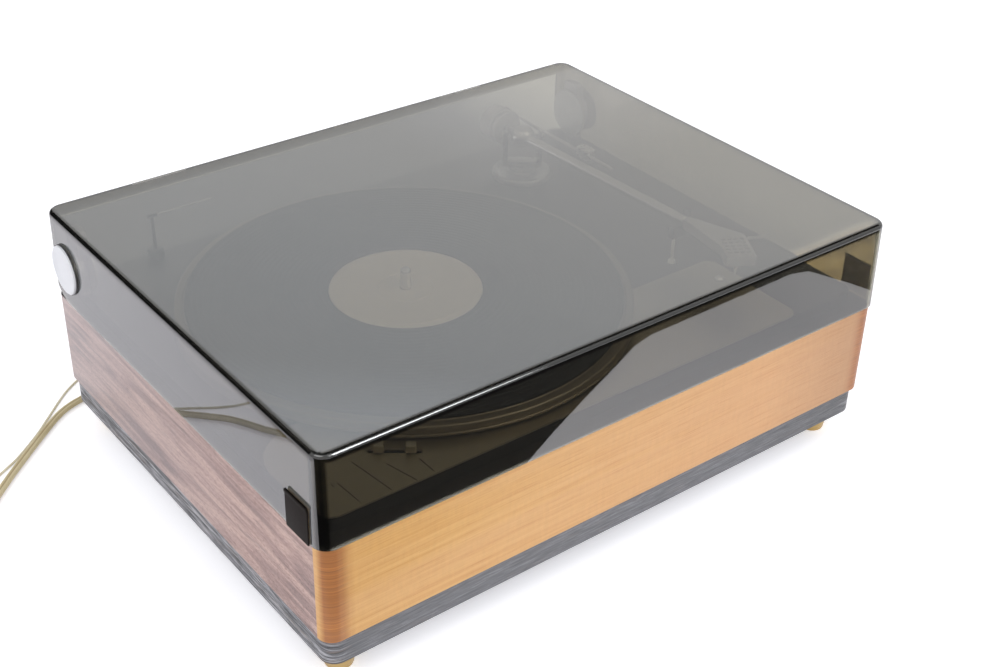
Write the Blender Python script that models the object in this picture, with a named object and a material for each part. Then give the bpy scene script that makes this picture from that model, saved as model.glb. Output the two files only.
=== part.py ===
"""Turntable with a wooden plinth, a smoked hinged lid and a belt drive under the platter.

The origin is on the table under the middle of the plinth. X points right, Y points to the rear, Z up.
"""
import math

import bmesh
import bpy
import numpy as np
from mathutils import Matrix, Vector

# Clearances shared by the whole turntable
SEAT_GAP = 0.0003
OVERRUN = 0.004

# Facets round a turned piece
LARGE_SIDES = 72
MEDIUM_SIDES = 36
SMALL_SIDES = 20
FINE_SIDES = 14
CORNER_STEPS = 5

# Feet
FOOT_HEIGHT = 0.0185
FOOT_TOP_RADIUS = 0.0114
FOOT_BOTTOM_RADIUS = 0.0090
FOOT_EDGE = 0.0010
FOOT_COLLAR = 0.0025
FOOT_INSET_X = 0.0211
FOOT_INSET_Y = 0.0229

# Lid, which sets the plan size of what lies under it
LID_WIDTH = 0.4400
LID_DEPTH = 0.3380
LID_HEIGHT = 0.0622
LID_WALL = 0.0030
LID_CORNER_RADIUS = 0.0100
LID_EDGE_RADIUS = 0.0030
LID_INNER_EDGE_RADIUS = 0.0012
LID_DRAFT = 0.0008
LID_REAR_LIP = 0.0110
LID_CORNER_RETURN = 0.0080

# Plinth
WOOD_INSET = 0.0009
WOOD_HEIGHT = 0.0670
WOOD_THICKNESS = 0.0160
WOOD_CORNER_RADIUS = 0.0100
SKIRT_INSET = 0.0031
SKIRT_HEIGHT = 0.0187
SKIRT_RAIL = 0.0360
SKIRT_CORNER_RADIUS = 0.0100
BOARD_THICKNESS = 0.0030
BOARD_REBATE = 0.0080

# Deck
DECK_HEIGHT = 0.0087
DECK_LEDGE = 0.0105
DECK_FRONT_LEDGE = 0.0140
DECK_REAR_LEDGE = 0.0125
DECK_CORNER_RADIUS = 0.0100

# Platter group, on the spindle axis. The platter is the largest that leaves this room on the deck.
PLATTER_LEFT_ROOM = 0.0125
PLATTER_RIGHT_ROOM = 0.1095
PLATTER_FRONT_ROOM = 0.0080
PLATTER_REAR_ROOM = 0.0065
PLATTER_LIFT = 0.0022
PLATTER_RIM_HEIGHT = 0.0080
PLATTER_RIM_WIDTH = 0.0120
PLATTER_EDGE = 0.0008
PLATTER_WEB = 0.0040
LABEL_RADIUS = 0.0500
LABEL_RISE = 0.0022
MAT_MARGIN = 0.0065
MAT_THICKNESS = 0.0022
SPINDLE_RADIUS = 0.00355
SPINDLE_STAND = 0.0150
SPINDLE_DOME = 0.0030
SHAFT_RADIUS = 0.0050
SHAFT_LENGTH = 0.0560
SUB_PLATTER_SHARE = 0.47138
SUB_PLATTER_HEIGHT = 0.0150
SUB_PLATTER_RIM = 0.0050
SUB_PLATTER_WEB = 0.0045
SUB_PLATTER_HUB_RADIUS = 0.0130
SUB_PLATTER_HUB_HEIGHT = 0.0190
BEARING_RADIUS = 0.0110
BEARING_FLANGE_RADIUS = 0.0240
BEARING_FLANGE = 0.0030
BEARING_FLOOR = 0.0040

# Well under the platter
WELL_SHARE = 0.87542
WELL_WALL = 0.0015
WELL_SIDE_GAP = 0.0020
WELL_DEPTH = 0.0240
WELL_FLANGE = 0.0120

# Motor and belt
MOTOR_CLEARANCE = 0.0310
MOTOR_HEADING_DEGREES = -127.0
MOTOR_RADIUS = 0.0280
MOTOR_HEIGHT = 0.0340
MOTOR_EDGE = 0.0020
MOTOR_BORE_DEPTH = 0.0120
MOTOR_SHAFT_RADIUS = 0.0015
PULLEY_LOW_RADIUS = 0.0070
PULLEY_HIGH_RADIUS = 0.0095
PULLEY_STEP = 0.0060
PULLEY_CROWN = 0.0008
BELT_WIDTH = 0.0040
BELT_THICKNESS = 0.0007

# Control strip at the front of the deck
STRIP_THICKNESS = 0.0010
STRIP_REACH = 0.0820
STRIP_RIGHT_INSET = 0.0550
STRIP_UNDER_RIM = 0.0105
STRIP_END_RADIUS = 0.0080
STRIP_REAR_RADIUS = 0.0300
SLOT_BESIDE_PLATTER = 0.010473
SLOT_HEADING_DEGREES = -127.216
SLOT_LENGTH = 0.0317
SLOT_WIDTH = 0.0030
SLOT_TURN_DEGREES = -35.9
LEVER_SPACING = 0.0184
LEVER_STEM_WIDTH = 0.0022
LEVER_STEM_LENGTH = 0.0050
LEVER_STEM_DEPTH = 0.0120
LEVER_CAP_LENGTH = 0.0062
LEVER_CAP_WIDTH = 0.0048
LEVER_CAP_HEIGHT = 0.0050
LEVER_CAP_EDGE = 0.0006
LEVER_LIFT = 0.0006
STRIP_SCREW_END_INSET = 0.0140
STRIP_SCREW_REAR_INSET = 0.0242
STRIP_SCREW_RADIUS = 0.0034
STRIP_SCREW_HEIGHT = 0.0016
STRIP_SCREW_SHANK = 0.0015
STRIP_SCREW_LENGTH = 0.0060

# Tonearm pivot
ARM_RIGHT_INSET = 0.0795
ARM_REAR_INSET = 0.0505
ARM_UNDER_LID = 0.0185
ARM_TURN_DEGREES = 2.27
YOKE_TURN_DEGREES = -38.0
ARM_BASE_RADIUS = 0.0225
ARM_BASE_HEIGHT = 0.0045
ARM_BASE_EDGE = 0.0012
ARM_BOSS_RADIUS = 0.0100
ARM_BOSS_HEIGHT = 0.0080
ARM_STEM_RADIUS = 0.0090
ARM_STEM_LENGTH = 0.0180
YOKE_SHAFT_RADIUS = 0.0060
YOKE_SHAFT_LENGTH = 0.0210
YOKE_INNER_HALF = 0.0110
YOKE_CHEEK = 0.0035
YOKE_BRIDGE = 0.0040
YOKE_DEPTH = 0.0090
YOKE_TOP_RISE = 0.0040
PIVOT_RADIUS = 0.0015
PIVOT_HEAD_RADIUS = 0.0026
PIVOT_HEAD = 0.0016

# Tonearm
TUBE_RADIUS = 0.0035
TUBE_PAST_REST = 0.0040
HUB_RADIUS = 0.0090
STUB_RADIUS = 0.0030
STUB_REACH = 0.0410
WEIGHT_RADIUS = 0.0130
WEIGHT_LENGTH = 0.0190
WEIGHT_START = 0.0175
WEIGHT_EDGE = 0.0015
WEIGHT_GROOVE = 0.0008
ROD_RADIUS = 0.0014
ROD_OFFSET = 0.0180
ROD_FRONT = 0.0820
ROD_PLATE = 0.0030
ROD_PLATE_HEIGHT = 0.0060
RIDER_FRONT = 0.0560
RIDER_LENGTH = 0.0140
RIDER_WIDTH = 0.0090
RIDER_OFFSET = 0.0022
RIDER_HEIGHT = 0.0070
RIDER_EDGE = 0.0025

# Headshell
SHELL_THICKNESS = 0.0012
SHELL_HEIGHT = 0.0070
SHELL_TURN_DEGREES = -30.0
SHELL_NECK_HALF = 0.0026
SHELL_WIDTH = 0.0200
SHELL_LENGTH = 0.0300
SHELL_AHEAD = 0.0480
SHELL_SIDE_STEP = 0.0002
SHELL_RISE = 0.0030
HOLE_COLUMNS = 4
HOLE_ROWS = 5
HOLE_PITCH_X = 0.0042
HOLE_PITCH_Y = 0.0044
HOLE_LENGTH = 0.0030
HOLE_WIDTH = 0.0020
LIFT_LENGTH = 0.0160
LIFT_WIDTH = 0.0030
LIFT_THICKNESS = 0.0010
LIFT_CURL = 0.0035
CARTRIDGE_WIDTH = 0.0120
CARTRIDGE_LENGTH = 0.0200
CARTRIDGE_HEIGHT = 0.0110
CARTRIDGE_NOSE = 0.0040
STYLUS_WIDTH = 0.0020
STYLUS_LENGTH = 0.0050
STYLUS_TIP = 0.0006
STYLUS_DROP = 0.0075

# Arm rest
REST_SIDE_STEP = 0.0010
REST_BEHIND_STRIP = 0.0130
REST_POST_RADIUS = 0.0011
REST_COLLAR_RADIUS = 0.0030
REST_COLLAR_HEIGHT = 0.0018
REST_CLIP_DEPTH = 0.0050
REST_CLIP_BASE = 0.0081
REST_CLIP_WALL = 0.0020
REST_CLIP_RISE = 0.0030

# Side post at the rear left
POST_LEFT_INSET = 0.0565
POST_REAR_INSET = 0.0065
POST_BASE_RADIUS = 0.0058
POST_BASE_HEIGHT = 0.0072
POST_RADIUS = 0.0013
POST_HEIGHT = 0.0240
POST_CAP_RADIUS = 0.0013
POST_CAP_LENGTH = 0.0076
SIDE_ARM_LENGTH = 0.0410
SIDE_ARM_RADIUS = 0.0006

# Lid hinges
HINGE_RISE = 0.0278
BRACKET_INSET = 0.0140
BRACKET_THICKNESS = 0.0054
BRACKET_WIDTH = 0.0160
BRACKET_UNDER_LID = 0.0060
BRACKET_CORNER = 0.0040
BOSS_RADIUS = 0.0110
HINGE_PIN_RADIUS = 0.0040
HINGE_PLATE_RADIUS = 0.0185
HINGE_PLATE_THICKNESS = 0.0015
CAP_RADIUS = 0.01665
CAP_THICKNESS = 0.0014
CAP_RING_RADIUS = 0.0174
CAP_RING_THICKNESS = 0.0006
CAP_EDGE = 0.0004
GRIP_WIDTH = 0.0225
GRIP_HEIGHT = 0.0250
GRIP_THICKNESS = 0.0016
GRIP_BEVEL = 0.0009
GRIP_FRONT_INSET = 0.0110

# Mains lead, a limp flat twin lead taken as a round one of the same width
CORD_DIAMETER = 0.0056
CORD_EXIT_INSET = 0.1100
CORD_EXIT_RISE = 0.0085
RELIEF_LENGTH = 0.0220
RELIEF_BASE_RADIUS = 0.0056
RELIEF_TIP_RADIUS = 0.0042
RELIEF_FLANGE_RADIUS = 0.0075
RELIEF_FLANGE = 0.0015
COIL_PITCH = 0.0062
COIL_TURNS = 6.375
COIL_RADIUS = 0.0450
COIL_LIFT = 0.0020
COIL_TAIL = 0.0550
TIE_WIDTH = 0.0050
TIE_THICKNESS = 0.0010
TIE_CLEARANCE = 0.0005
PLUG_WIDTH = 0.0260
PLUG_HEIGHT = 0.0140
PLUG_LENGTH = 0.0300
PLUG_NECK_LENGTH = 0.0140
PLUG_NECK_RADIUS = 0.0042
PLUG_CORNER_RADIUS = 0.0040
PLUG_PIN_RADIUS = 0.0020
PLUG_PIN_LENGTH = 0.0190
PLUG_PIN_SPACING = 0.0190

# Earth wire
WIRE_DIAMETER = 0.0018
WIRE_EXIT_INSET = 0.1350
WIRE_EXIT_RISE = 0.0085
GROMMET_RADIUS = 0.0040
GROMMET_LENGTH = 0.0030
WIRE_COIL_PITCH = 0.0024
WIRE_COIL_TURNS = 9.25
WIRE_COIL_RADIUS = 0.0175
WIRE_COIL_LIFT = 0.0012
WIRE_COIL_TAIL = 0.0180
WIRE_TIE_WIDTH = 0.0030
WIRE_TIE_THICKNESS = 0.0006
WIRE_TIE_CLEARANCE = 0.0003
LUG_BARREL_RADIUS = 0.0016
LUG_BARREL_LENGTH = 0.0070
LUG_WIDTH = 0.0078
LUG_LENGTH = 0.0120
LUG_THICKNESS = 0.0008
LUG_SLOT_WIDTH = 0.0036
LUG_SLOT_LENGTH = 0.0065

# Places seen from above, worked out from the sizes above
HALF_WIDTH = LID_WIDTH / 2
HALF_DEPTH = LID_DEPTH / 2
DECK_LEFT = DECK_LEDGE - HALF_WIDTH
DECK_RIGHT = HALF_WIDTH - DECK_LEDGE
DECK_FRONT = DECK_FRONT_LEDGE - HALF_DEPTH
DECK_REAR = HALF_DEPTH - DECK_REAR_LEDGE
SKIRT_REAR = HALF_DEPTH - SKIRT_INSET
PLATTER_RADIUS = min(DECK_RIGHT - DECK_LEFT - PLATTER_LEFT_ROOM - PLATTER_RIGHT_ROOM,
                     DECK_REAR - DECK_FRONT - PLATTER_FRONT_ROOM - PLATTER_REAR_ROOM) / 2
PLATTER_X = DECK_LEFT + PLATTER_LEFT_ROOM + PLATTER_RADIUS
PLATTER_Y = DECK_FRONT + PLATTER_FRONT_ROOM + PLATTER_RADIUS
MAT_RADIUS = PLATTER_RADIUS - MAT_MARGIN
WELL_RADIUS = PLATTER_RADIUS * WELL_SHARE
MOTOR_REACH = WELL_RADIUS - MOTOR_CLEARANCE
MOTOR_OFFSET_X = MOTOR_REACH * math.cos(math.radians(MOTOR_HEADING_DEGREES))
MOTOR_OFFSET_Y = MOTOR_REACH * math.sin(math.radians(MOTOR_HEADING_DEGREES))
SUB_PLATTER_RADIUS = PLATTER_RADIUS * SUB_PLATTER_SHARE
STRIP_CLEAR_RADIUS = PLATTER_RADIUS - STRIP_UNDER_RIM
STRIP_RIGHT_X = DECK_RIGHT - STRIP_RIGHT_INSET
STRIP_REAR = DECK_FRONT + STRIP_REACH
SLOT_REACH = PLATTER_RADIUS + SLOT_BESIDE_PLATTER
SLOT_X = PLATTER_X + SLOT_REACH * math.cos(math.radians(SLOT_HEADING_DEGREES))
SLOT_Y = PLATTER_Y + SLOT_REACH * math.sin(math.radians(SLOT_HEADING_DEGREES))
STRIP_SCREW_X = STRIP_RIGHT_X - STRIP_SCREW_END_INSET
STRIP_SCREW_Y = STRIP_REAR - STRIP_SCREW_REAR_INSET
ARM_X = DECK_RIGHT - ARM_RIGHT_INSET
ARM_Y = DECK_REAR - ARM_REAR_INSET
REST_X = ARM_X + REST_SIDE_STEP
REST_Y = STRIP_REAR + REST_BEHIND_STRIP
TUBE_REACH = ARM_Y - REST_Y + TUBE_PAST_REST
POST_X = DECK_LEFT + POST_LEFT_INSET
POST_Y = DECK_REAR - POST_REAR_INSET
BRACKET_INNER_X = HALF_WIDTH - BRACKET_INSET
CORD_EXIT_X = CORD_EXIT_INSET - HALF_WIDTH
WIRE_EXIT_X = WIRE_EXIT_INSET - HALF_WIDTH

# Levels worked out from the sizes above
FLOOR = 0.0
SKIRT_BOTTOM = FOOT_HEIGHT
SKIRT_TOP = SKIRT_BOTTOM + SKIRT_HEIGHT
WOOD_BOTTOM = SKIRT_TOP + SEAT_GAP
WOOD_TOP = WOOD_BOTTOM + WOOD_HEIGHT
LID_BOTTOM = WOOD_TOP + SEAT_GAP
LID_TOP = LID_BOTTOM + LID_HEIGHT
DECK_BOTTOM = WOOD_TOP + SEAT_GAP
DECK_TOP = DECK_BOTTOM + DECK_HEIGHT
ON_DECK = DECK_TOP + SEAT_GAP
STRIP_TOP = ON_DECK + STRIP_THICKNESS
PLATTER_BOTTOM = DECK_TOP + PLATTER_LIFT
PLATTER_TOP = PLATTER_BOTTOM + PLATTER_RIM_HEIGHT
MAT_TOP = PLATTER_TOP + SEAT_GAP + MAT_THICKNESS
LABEL_TOP = PLATTER_TOP + LABEL_RISE
WEB_BOTTOM = PLATTER_TOP - PLATTER_WEB
SUB_PLATTER_TOP = WEB_BOTTOM - SEAT_GAP
WELL_TOP = DECK_BOTTOM - SEAT_GAP
WELL_FLOOR = WELL_TOP - WELL_DEPTH
WELL_UNDERSIDE = WELL_FLOOR - WELL_WALL
ARM_Z = LID_TOP - LID_WALL - ARM_UNDER_LID
REST_TOP = ARM_Z - TUBE_RADIUS - SEAT_GAP - REST_CLIP_BASE - SEAT_GAP
HINGE_Z = LID_BOTTOM + HINGE_RISE
BRACKET_TOP = LID_TOP - LID_WALL - BRACKET_UNDER_LID
HINGE_Y = HALF_DEPTH - HINGE_RISE

# Routes that the cords lie along, chosen by hand on the table behind and beside the turntable.
# They are measured from the lid's rear left corner, and each ends where its coil begins.
CORD_ROUTE = [
    (0.1098, 0.0350, 0.0262), (0.1072, 0.0440, 0.0240), (0.1010, 0.0525, 0.0204),
    (0.0918, 0.0578, 0.0160), (0.0810, 0.0588, 0.0118), (0.0700, 0.0545, 0.0082),
    (0.0600, 0.0465, 0.0054), (0.0505, 0.0370, 0.0036), (0.0410, 0.0275, 0.0031),
    (0.0310, 0.0195, 0.0030), (0.0215, 0.0148, 0.0030), (0.0125, 0.0123, 0.0030),
    (0.0032, 0.0096, 0.0030), (-0.0060, 0.0054, 0.0030), (-0.0157, -0.0014, 0.0030),
    (-0.0278, -0.0115, 0.0030), (-0.0390, -0.0212, 0.0030), (-0.0516, -0.0324, 0.0030),
    (-0.0639, -0.0435, 0.0030), (-0.0766, -0.0558, 0.0030), (-0.0890, -0.0683, 0.0030),
    (-0.0968, -0.0810, 0.0030), (-0.1040, -0.0945, 0.0031), (-0.1120, -0.1070, 0.0036),
    (-0.1220, -0.1180, 0.0045),
]
WIRE_ROUTE = [
    (0.1349, 0.0110, 0.0268), (0.1342, 0.0245, 0.0255), (0.1318, 0.0375, 0.0226),
    (0.1272, 0.0500, 0.0182), (0.1200, 0.0610, 0.0130), (0.1105, 0.0695, 0.0078),
    (0.0995, 0.0745, 0.0036), (0.0875, 0.0758, 0.0014), (0.0750, 0.0735, 0.0010),
    (0.0620, 0.0680, 0.0010), (0.0490, 0.0600, 0.0010), (0.0360, 0.0505, 0.0010),
    (0.0250, 0.0420, 0.0010), (0.0140, 0.0345, 0.0010), (0.0070, 0.0293, 0.0010),
    (0.0005, 0.0233, 0.0010), (-0.0094, 0.0135, 0.0010), (-0.0201, 0.0028, 0.0010),
    (-0.0326, -0.0093, 0.0010), (-0.0520, -0.0252, 0.0010), (-0.0660, -0.0340, 0.0010),
    (-0.0795, -0.0420, 0.0010), (-0.0925, -0.0495, 0.0010), (-0.1060, -0.0545, 0.0010),
    (-0.1200, -0.0550, 0.0010), (-0.1330, -0.0505, 0.0011), (-0.1430, -0.0410, 0.0016),
]
CORD_COIL_START = (-0.1345, -0.1290)
CORD_COIL_HEADING_DEGREES = -139.0
WIRE_COIL_START = (-0.1504, -0.0314)
WIRE_COIL_HEADING_DEGREES = 130.0


def clear_scene():
    """Removes whatever objects the file holds."""
    for item in list(bpy.data.objects):
        bpy.data.objects.remove(item, do_unlink=True)


def make_material(name, colour, roughness, metallic, alpha=1.0):
    """Makes a Principled material of one colour."""
    material = bpy.data.materials.new(name)
    material.use_nodes = True
    shader = material.node_tree.nodes["Principled BSDF"]
    shader.inputs["Base Color"].default_value = (*colour, 1.0)
    shader.inputs["Roughness"].default_value = roughness
    shader.inputs["Metallic"].default_value = metallic
    shader.inputs["Alpha"].default_value = alpha
    return material


def add_mesh(name, bm, material, smooth=None):
    """Turns a finished bmesh into a named object with its faces pointing out."""
    bmesh.ops.recalc_face_normals(bm, faces=bm.faces[:])
    mesh = bpy.data.meshes.new(name)
    bm.to_mesh(mesh)
    bm.free()
    if material is not None:
        mesh.materials.append(material)
    if smooth is not None:
        mesh.shade_smooth()
        mesh.set_sharp_from_angle(angle=smooth)
    item = bpy.data.objects.new(name, mesh)
    bpy.context.scene.collection.objects.link(item)
    return item


SMOOTH_ANGLE = math.radians(35)


def add_axis(name, location):
    """Adds an empty that stands on a joint's axis."""
    item = bpy.data.objects.new(name, None)
    item.location = location
    bpy.context.scene.collection.objects.link(item)
    return item


def carry(axis, item):
    """Parents a piece to the empty on its joint's axis without moving it."""
    item.parent = axis
    item.location = Vector(item.location) - Vector(axis.location)
    return item


def circle(radius, sides, centre=(0.0, 0.0), start=0.0):
    """Gives the points of a circle, counterclockwise."""
    points = []
    for index in range(sides):
        angle = start + 2 * math.pi * index / sides
        points.append((centre[0] + radius * math.cos(angle), centre[1] + radius * math.sin(angle)))
    return points


def arc(centre, radius, start, end, steps):
    """Gives the points of an arc between two angles, both ends included."""
    points = []
    for index in range(steps + 1):
        angle = start + (end - start) * index / steps
        points.append((centre[0] + radius * math.cos(angle), centre[1] + radius * math.sin(angle)))
    return points


def rounded_rectangle(left, right, front, rear, radius, steps=CORNER_STEPS):
    """Gives the points of a rectangle with round corners, counterclockwise from the rear right."""
    points = []
    corners = [
        (right - radius, rear - radius, 0.0),
        (left + radius, rear - radius, math.pi / 2),
        (left + radius, front + radius, math.pi),
        (right - radius, front + radius, 3 * math.pi / 2),
    ]
    for x, y, start in corners:
        points.extend(arc((x, y), radius, start, start + math.pi / 2, steps))
    return points


def centred_rectangle(width, depth, radius, steps=CORNER_STEPS):
    """Gives a rounded rectangle round the origin."""
    return rounded_rectangle(-width / 2, width / 2, -depth / 2, depth / 2, radius, steps)


def level(points, z):
    """Lifts flat points to a height."""
    return [(x, y, z) for x, y in points]


def loft(loops, closed=False):
    """Skins a row of loops with as many points each, capping both ends or joining them up."""
    bm = bmesh.new()
    rings = [[bm.verts.new(point) for point in loop] for loop in loops]
    count = len(rings[0])
    spans = len(rings) if closed else len(rings) - 1
    for index in range(spans):
        low = rings[index]
        high = rings[(index + 1) % len(rings)]
        for side in range(count):
            after = (side + 1) % count
            bm.faces.new((low[side], low[after], high[after], high[side]))
    if not closed:
        bm.faces.new(list(reversed(rings[0])))
        bm.faces.new(rings[-1])
    return bm


def prism(points, bottom, top):
    """Extrudes an outline between two heights."""
    return loft([level(points, bottom), level(points, top)])


def turned(profile, sides):
    """Turns a closed profile of radius and height about Z. A radius of zero lies on the axis."""
    bm = bmesh.new()
    rings = []
    for radius, height in profile:
        if radius == 0:
            rings.append([bm.verts.new((0.0, 0.0, height))])
        else:
            rings.append([bm.verts.new(point) for point in level(circle(radius, sides), height)])
    for index, low in enumerate(rings):
        high = rings[(index + 1) % len(rings)]
        if len(low) == 1 and len(high) == 1:
            continue
        for side in range(sides):
            after = (side + 1) % sides
            corners = []
            corners.append(low[side % len(low)])
            if len(low) > 1:
                corners.append(low[after])
            if len(high) > 1:
                corners.append(high[after])
            corners.append(high[side % len(high)])
            bm.faces.new(corners)
    return bm


def turn_to(bm, rotation):
    """Rotates the geometry of a bmesh about its origin."""
    bmesh.ops.transform(bm, matrix=rotation.to_4x4(), verts=bm.verts[:])
    return bm


def rotation_about(axis, angle):
    """Gives a rotation matrix."""
    return Matrix.Rotation(angle, 4, axis)


def boolean(item, other, operation="DIFFERENCE"):
    """Cuts or joins one piece by another, which is then only a guide."""
    other.hide_render = True
    other.display_type = "WIRE"
    modifier = item.modifiers.new(other.name, "BOOLEAN")
    modifier.object = other
    modifier.operation = operation
    return modifier


def cut(item, name, bm, location=(0.0, 0.0, 0.0), rotation=(0.0, 0.0, 0.0)):
    """Cuts a piece by a cutter that keeps its place in the piece's own space."""
    cutter = add_mesh(name, bm, None)
    cutter.location = location
    cutter.rotation_euler = rotation
    cutter.parent = item
    boolean(item, cutter)
    return cutter


def join(item, name, bm, location=(0.0, 0.0, 0.0), rotation=(0.0, 0.0, 0.0)):
    """Joins a shape to a piece."""
    shape = add_mesh(name, bm, None)
    shape.location = location
    shape.rotation_euler = rotation
    shape.parent = item
    boolean(item, shape, "UNION")
    return shape


def block(size_x, size_y, size_z):
    """Makes a box round its own centre."""
    bm = bmesh.new()
    bmesh.ops.create_cube(bm, size=1.0)
    bmesh.ops.scale(bm, vec=(size_x, size_y, size_z), verts=bm.verts[:])
    return bm


def build_feet(material):
    """Four turned brass feet under the corners of the skirt."""
    top = FOOT_HEIGHT - SEAT_GAP
    profile = [
        (0.0, FLOOR),
        (FOOT_BOTTOM_RADIUS - FOOT_EDGE, FLOOR),
        (FOOT_BOTTOM_RADIUS, FOOT_EDGE),
        (FOOT_TOP_RADIUS, top - FOOT_COLLAR),
        (FOOT_TOP_RADIUS, top),
        (0.0, top),
    ]
    for side, sign_x in (("left", -1), ("right", 1)):
        for end, sign_y in (("front", -1), ("rear", 1)):
            foot = add_mesh("foot_" + end + "_" + side, turned(profile, SMALL_SIDES), material, SMOOTH_ANGLE)
            foot.location = (
                sign_x * (HALF_WIDTH - FOOT_INSET_X),
                sign_y * (HALF_DEPTH - FOOT_INSET_Y),
                0.0,
            )


def build_skirt(material):
    """Frame of black rails under the wood, rebated below for the bottom board."""
    width = LID_WIDTH - 2 * SKIRT_INSET
    depth = LID_DEPTH - 2 * SKIRT_INSET
    outer = centred_rectangle(width, depth, SKIRT_CORNER_RADIUS)
    inner_width = width - 2 * SKIRT_RAIL
    inner_depth = depth - 2 * SKIRT_RAIL
    inner = centred_rectangle(inner_width, inner_depth, SEAT_GAP)
    rebate = centred_rectangle(inner_width + 2 * BOARD_REBATE, inner_depth + 2 * BOARD_REBATE, SEAT_GAP)
    shoulder = SKIRT_BOTTOM + BOARD_THICKNESS + SEAT_GAP
    loops = [
        level(outer, SKIRT_BOTTOM),
        level(outer, SKIRT_TOP),
        level(inner, SKIRT_TOP),
        level(inner, shoulder),
        level(rebate, shoulder),
        level(rebate, SKIRT_BOTTOM),
    ]
    add_mesh("base_skirt", loft(loops, closed=True), material)


def build_bottom_board(material):
    """Thin board that closes the skirt from below."""
    width = LID_WIDTH - 2 * SKIRT_INSET - 2 * SKIRT_RAIL + 2 * BOARD_REBATE - 2 * SEAT_GAP
    depth = LID_DEPTH - 2 * SKIRT_INSET - 2 * SKIRT_RAIL + 2 * BOARD_REBATE - 2 * SEAT_GAP
    board = add_mesh("bottom_board", block(width, depth, BOARD_THICKNESS), material)
    board.location = (0.0, 0.0, SKIRT_BOTTOM + BOARD_THICKNESS / 2)


def build_plinth(material):
    """Wooden frame of the plinth, open above and below."""
    width = LID_WIDTH - 2 * WOOD_INSET
    depth = LID_DEPTH - 2 * WOOD_INSET
    outer = centred_rectangle(width, depth, WOOD_CORNER_RADIUS)
    inner = centred_rectangle(width - 2 * WOOD_THICKNESS, depth - 2 * WOOD_THICKNESS, SEAT_GAP)
    loops = [
        level(outer, WOOD_BOTTOM),
        level(outer, WOOD_TOP),
        level(inner, WOOD_TOP),
        level(inner, WOOD_BOTTOM),
    ]
    add_mesh("plinth_frame", loft(loops, closed=True), material)


def slot_outline(length, width):
    """Outline of a slot with round ends, along X."""
    radius = width / 2
    reach = length / 2 - radius
    points = arc((reach, 0.0), radius, -math.pi / 2, math.pi / 2, CORNER_STEPS)
    points += arc((-reach, 0.0), radius, math.pi / 2, 3 * math.pi / 2, CORNER_STEPS)
    return points


def slot_rotation():
    """Turn of the lever slot, which runs along the platter's edge."""
    return (0.0, 0.0, math.radians(SLOT_TURN_DEGREES))


def build_deck(material):
    """Raised black deck on the wood, open over the drive and under the arm and the levers."""
    outline = rounded_rectangle(DECK_LEFT, DECK_RIGHT, DECK_FRONT, DECK_REAR, DECK_CORNER_RADIUS)
    deck = add_mesh("deck_plate", prism(outline, DECK_BOTTOM, DECK_TOP), material)
    low = DECK_BOTTOM - OVERRUN
    high = DECK_TOP + OVERRUN
    cut(deck, "deck_well_cutter", prism(circle(WELL_RADIUS, LARGE_SIDES), low, high),
        (PLATTER_X, PLATTER_Y, 0.0))
    stem_hole = ARM_STEM_RADIUS + SEAT_GAP
    cut(deck, "deck_arm_cutter", prism(circle(stem_hole, SMALL_SIDES), low, high), (ARM_X, ARM_Y, 0.0))
    cut(deck, "deck_slot_cutter", prism(slot_outline(SLOT_LENGTH, SLOT_WIDTH), low, high),
        (SLOT_X, SLOT_Y, 0.0), slot_rotation())
    screw_hole = STRIP_SCREW_SHANK + SEAT_GAP
    cut(deck, "deck_screw_cutter", prism(circle(screw_hole, FINE_SIDES), low, high),
        (STRIP_SCREW_X, STRIP_SCREW_Y, 0.0))


def build_well(material):
    """Round pan under the deck that holds the bearing and the motor."""
    outer = WELL_RADIUS - WELL_SIDE_GAP
    inner = outer - WELL_WALL
    hole = BEARING_RADIUS + SEAT_GAP
    profile = [
        (hole, WELL_UNDERSIDE),
        (outer, WELL_UNDERSIDE),
        (outer, WELL_TOP - WELL_WALL),
        (outer + WELL_FLANGE, WELL_TOP - WELL_WALL),
        (outer + WELL_FLANGE, WELL_TOP),
        (inner, WELL_TOP),
        (inner, WELL_FLOOR),
        (hole, WELL_FLOOR),
    ]
    pan = add_mesh("well_pan", turned(profile, LARGE_SIDES // 2), material)
    pan.location = (PLATTER_X, PLATTER_Y, 0.0)
    shaft_hole = MOTOR_SHAFT_RADIUS + OVERRUN
    cut(pan, "well_shaft_cutter", prism(circle(shaft_hole, SMALL_SIDES), WELL_UNDERSIDE - OVERRUN,
                                        WELL_FLOOR + OVERRUN), (MOTOR_OFFSET_X, MOTOR_OFFSET_Y, 0.0))


def build_bearing(material):
    """Main bearing, screwed up under the pan by its flange, with a closed bore for the shaft."""
    bore = SHAFT_RADIUS + SEAT_GAP
    hub_bottom = SUB_PLATTER_TOP - SUB_PLATTER_HUB_HEIGHT
    top = hub_bottom - SEAT_GAP
    shaft_bottom = SUB_PLATTER_TOP - SHAFT_LENGTH
    bore_bottom = shaft_bottom - SEAT_GAP
    bottom = bore_bottom - BEARING_FLOOR
    flange_top = WELL_UNDERSIDE - SEAT_GAP
    profile = [
        (0.0, bottom),
        (BEARING_RADIUS, bottom),
        (BEARING_RADIUS, flange_top - BEARING_FLANGE),
        (BEARING_FLANGE_RADIUS, flange_top - BEARING_FLANGE),
        (BEARING_FLANGE_RADIUS, flange_top),
        (BEARING_RADIUS, flange_top),
        (BEARING_RADIUS, top),
        (bore, top),
        (bore, bore_bottom),
        (0.0, bore_bottom),
    ]
    housing = add_mesh("bearing_housing", turned(profile, SMALL_SIDES), material, SMOOTH_ANGLE)
    housing.location = (PLATTER_X, PLATTER_Y, 0.0)


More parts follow.
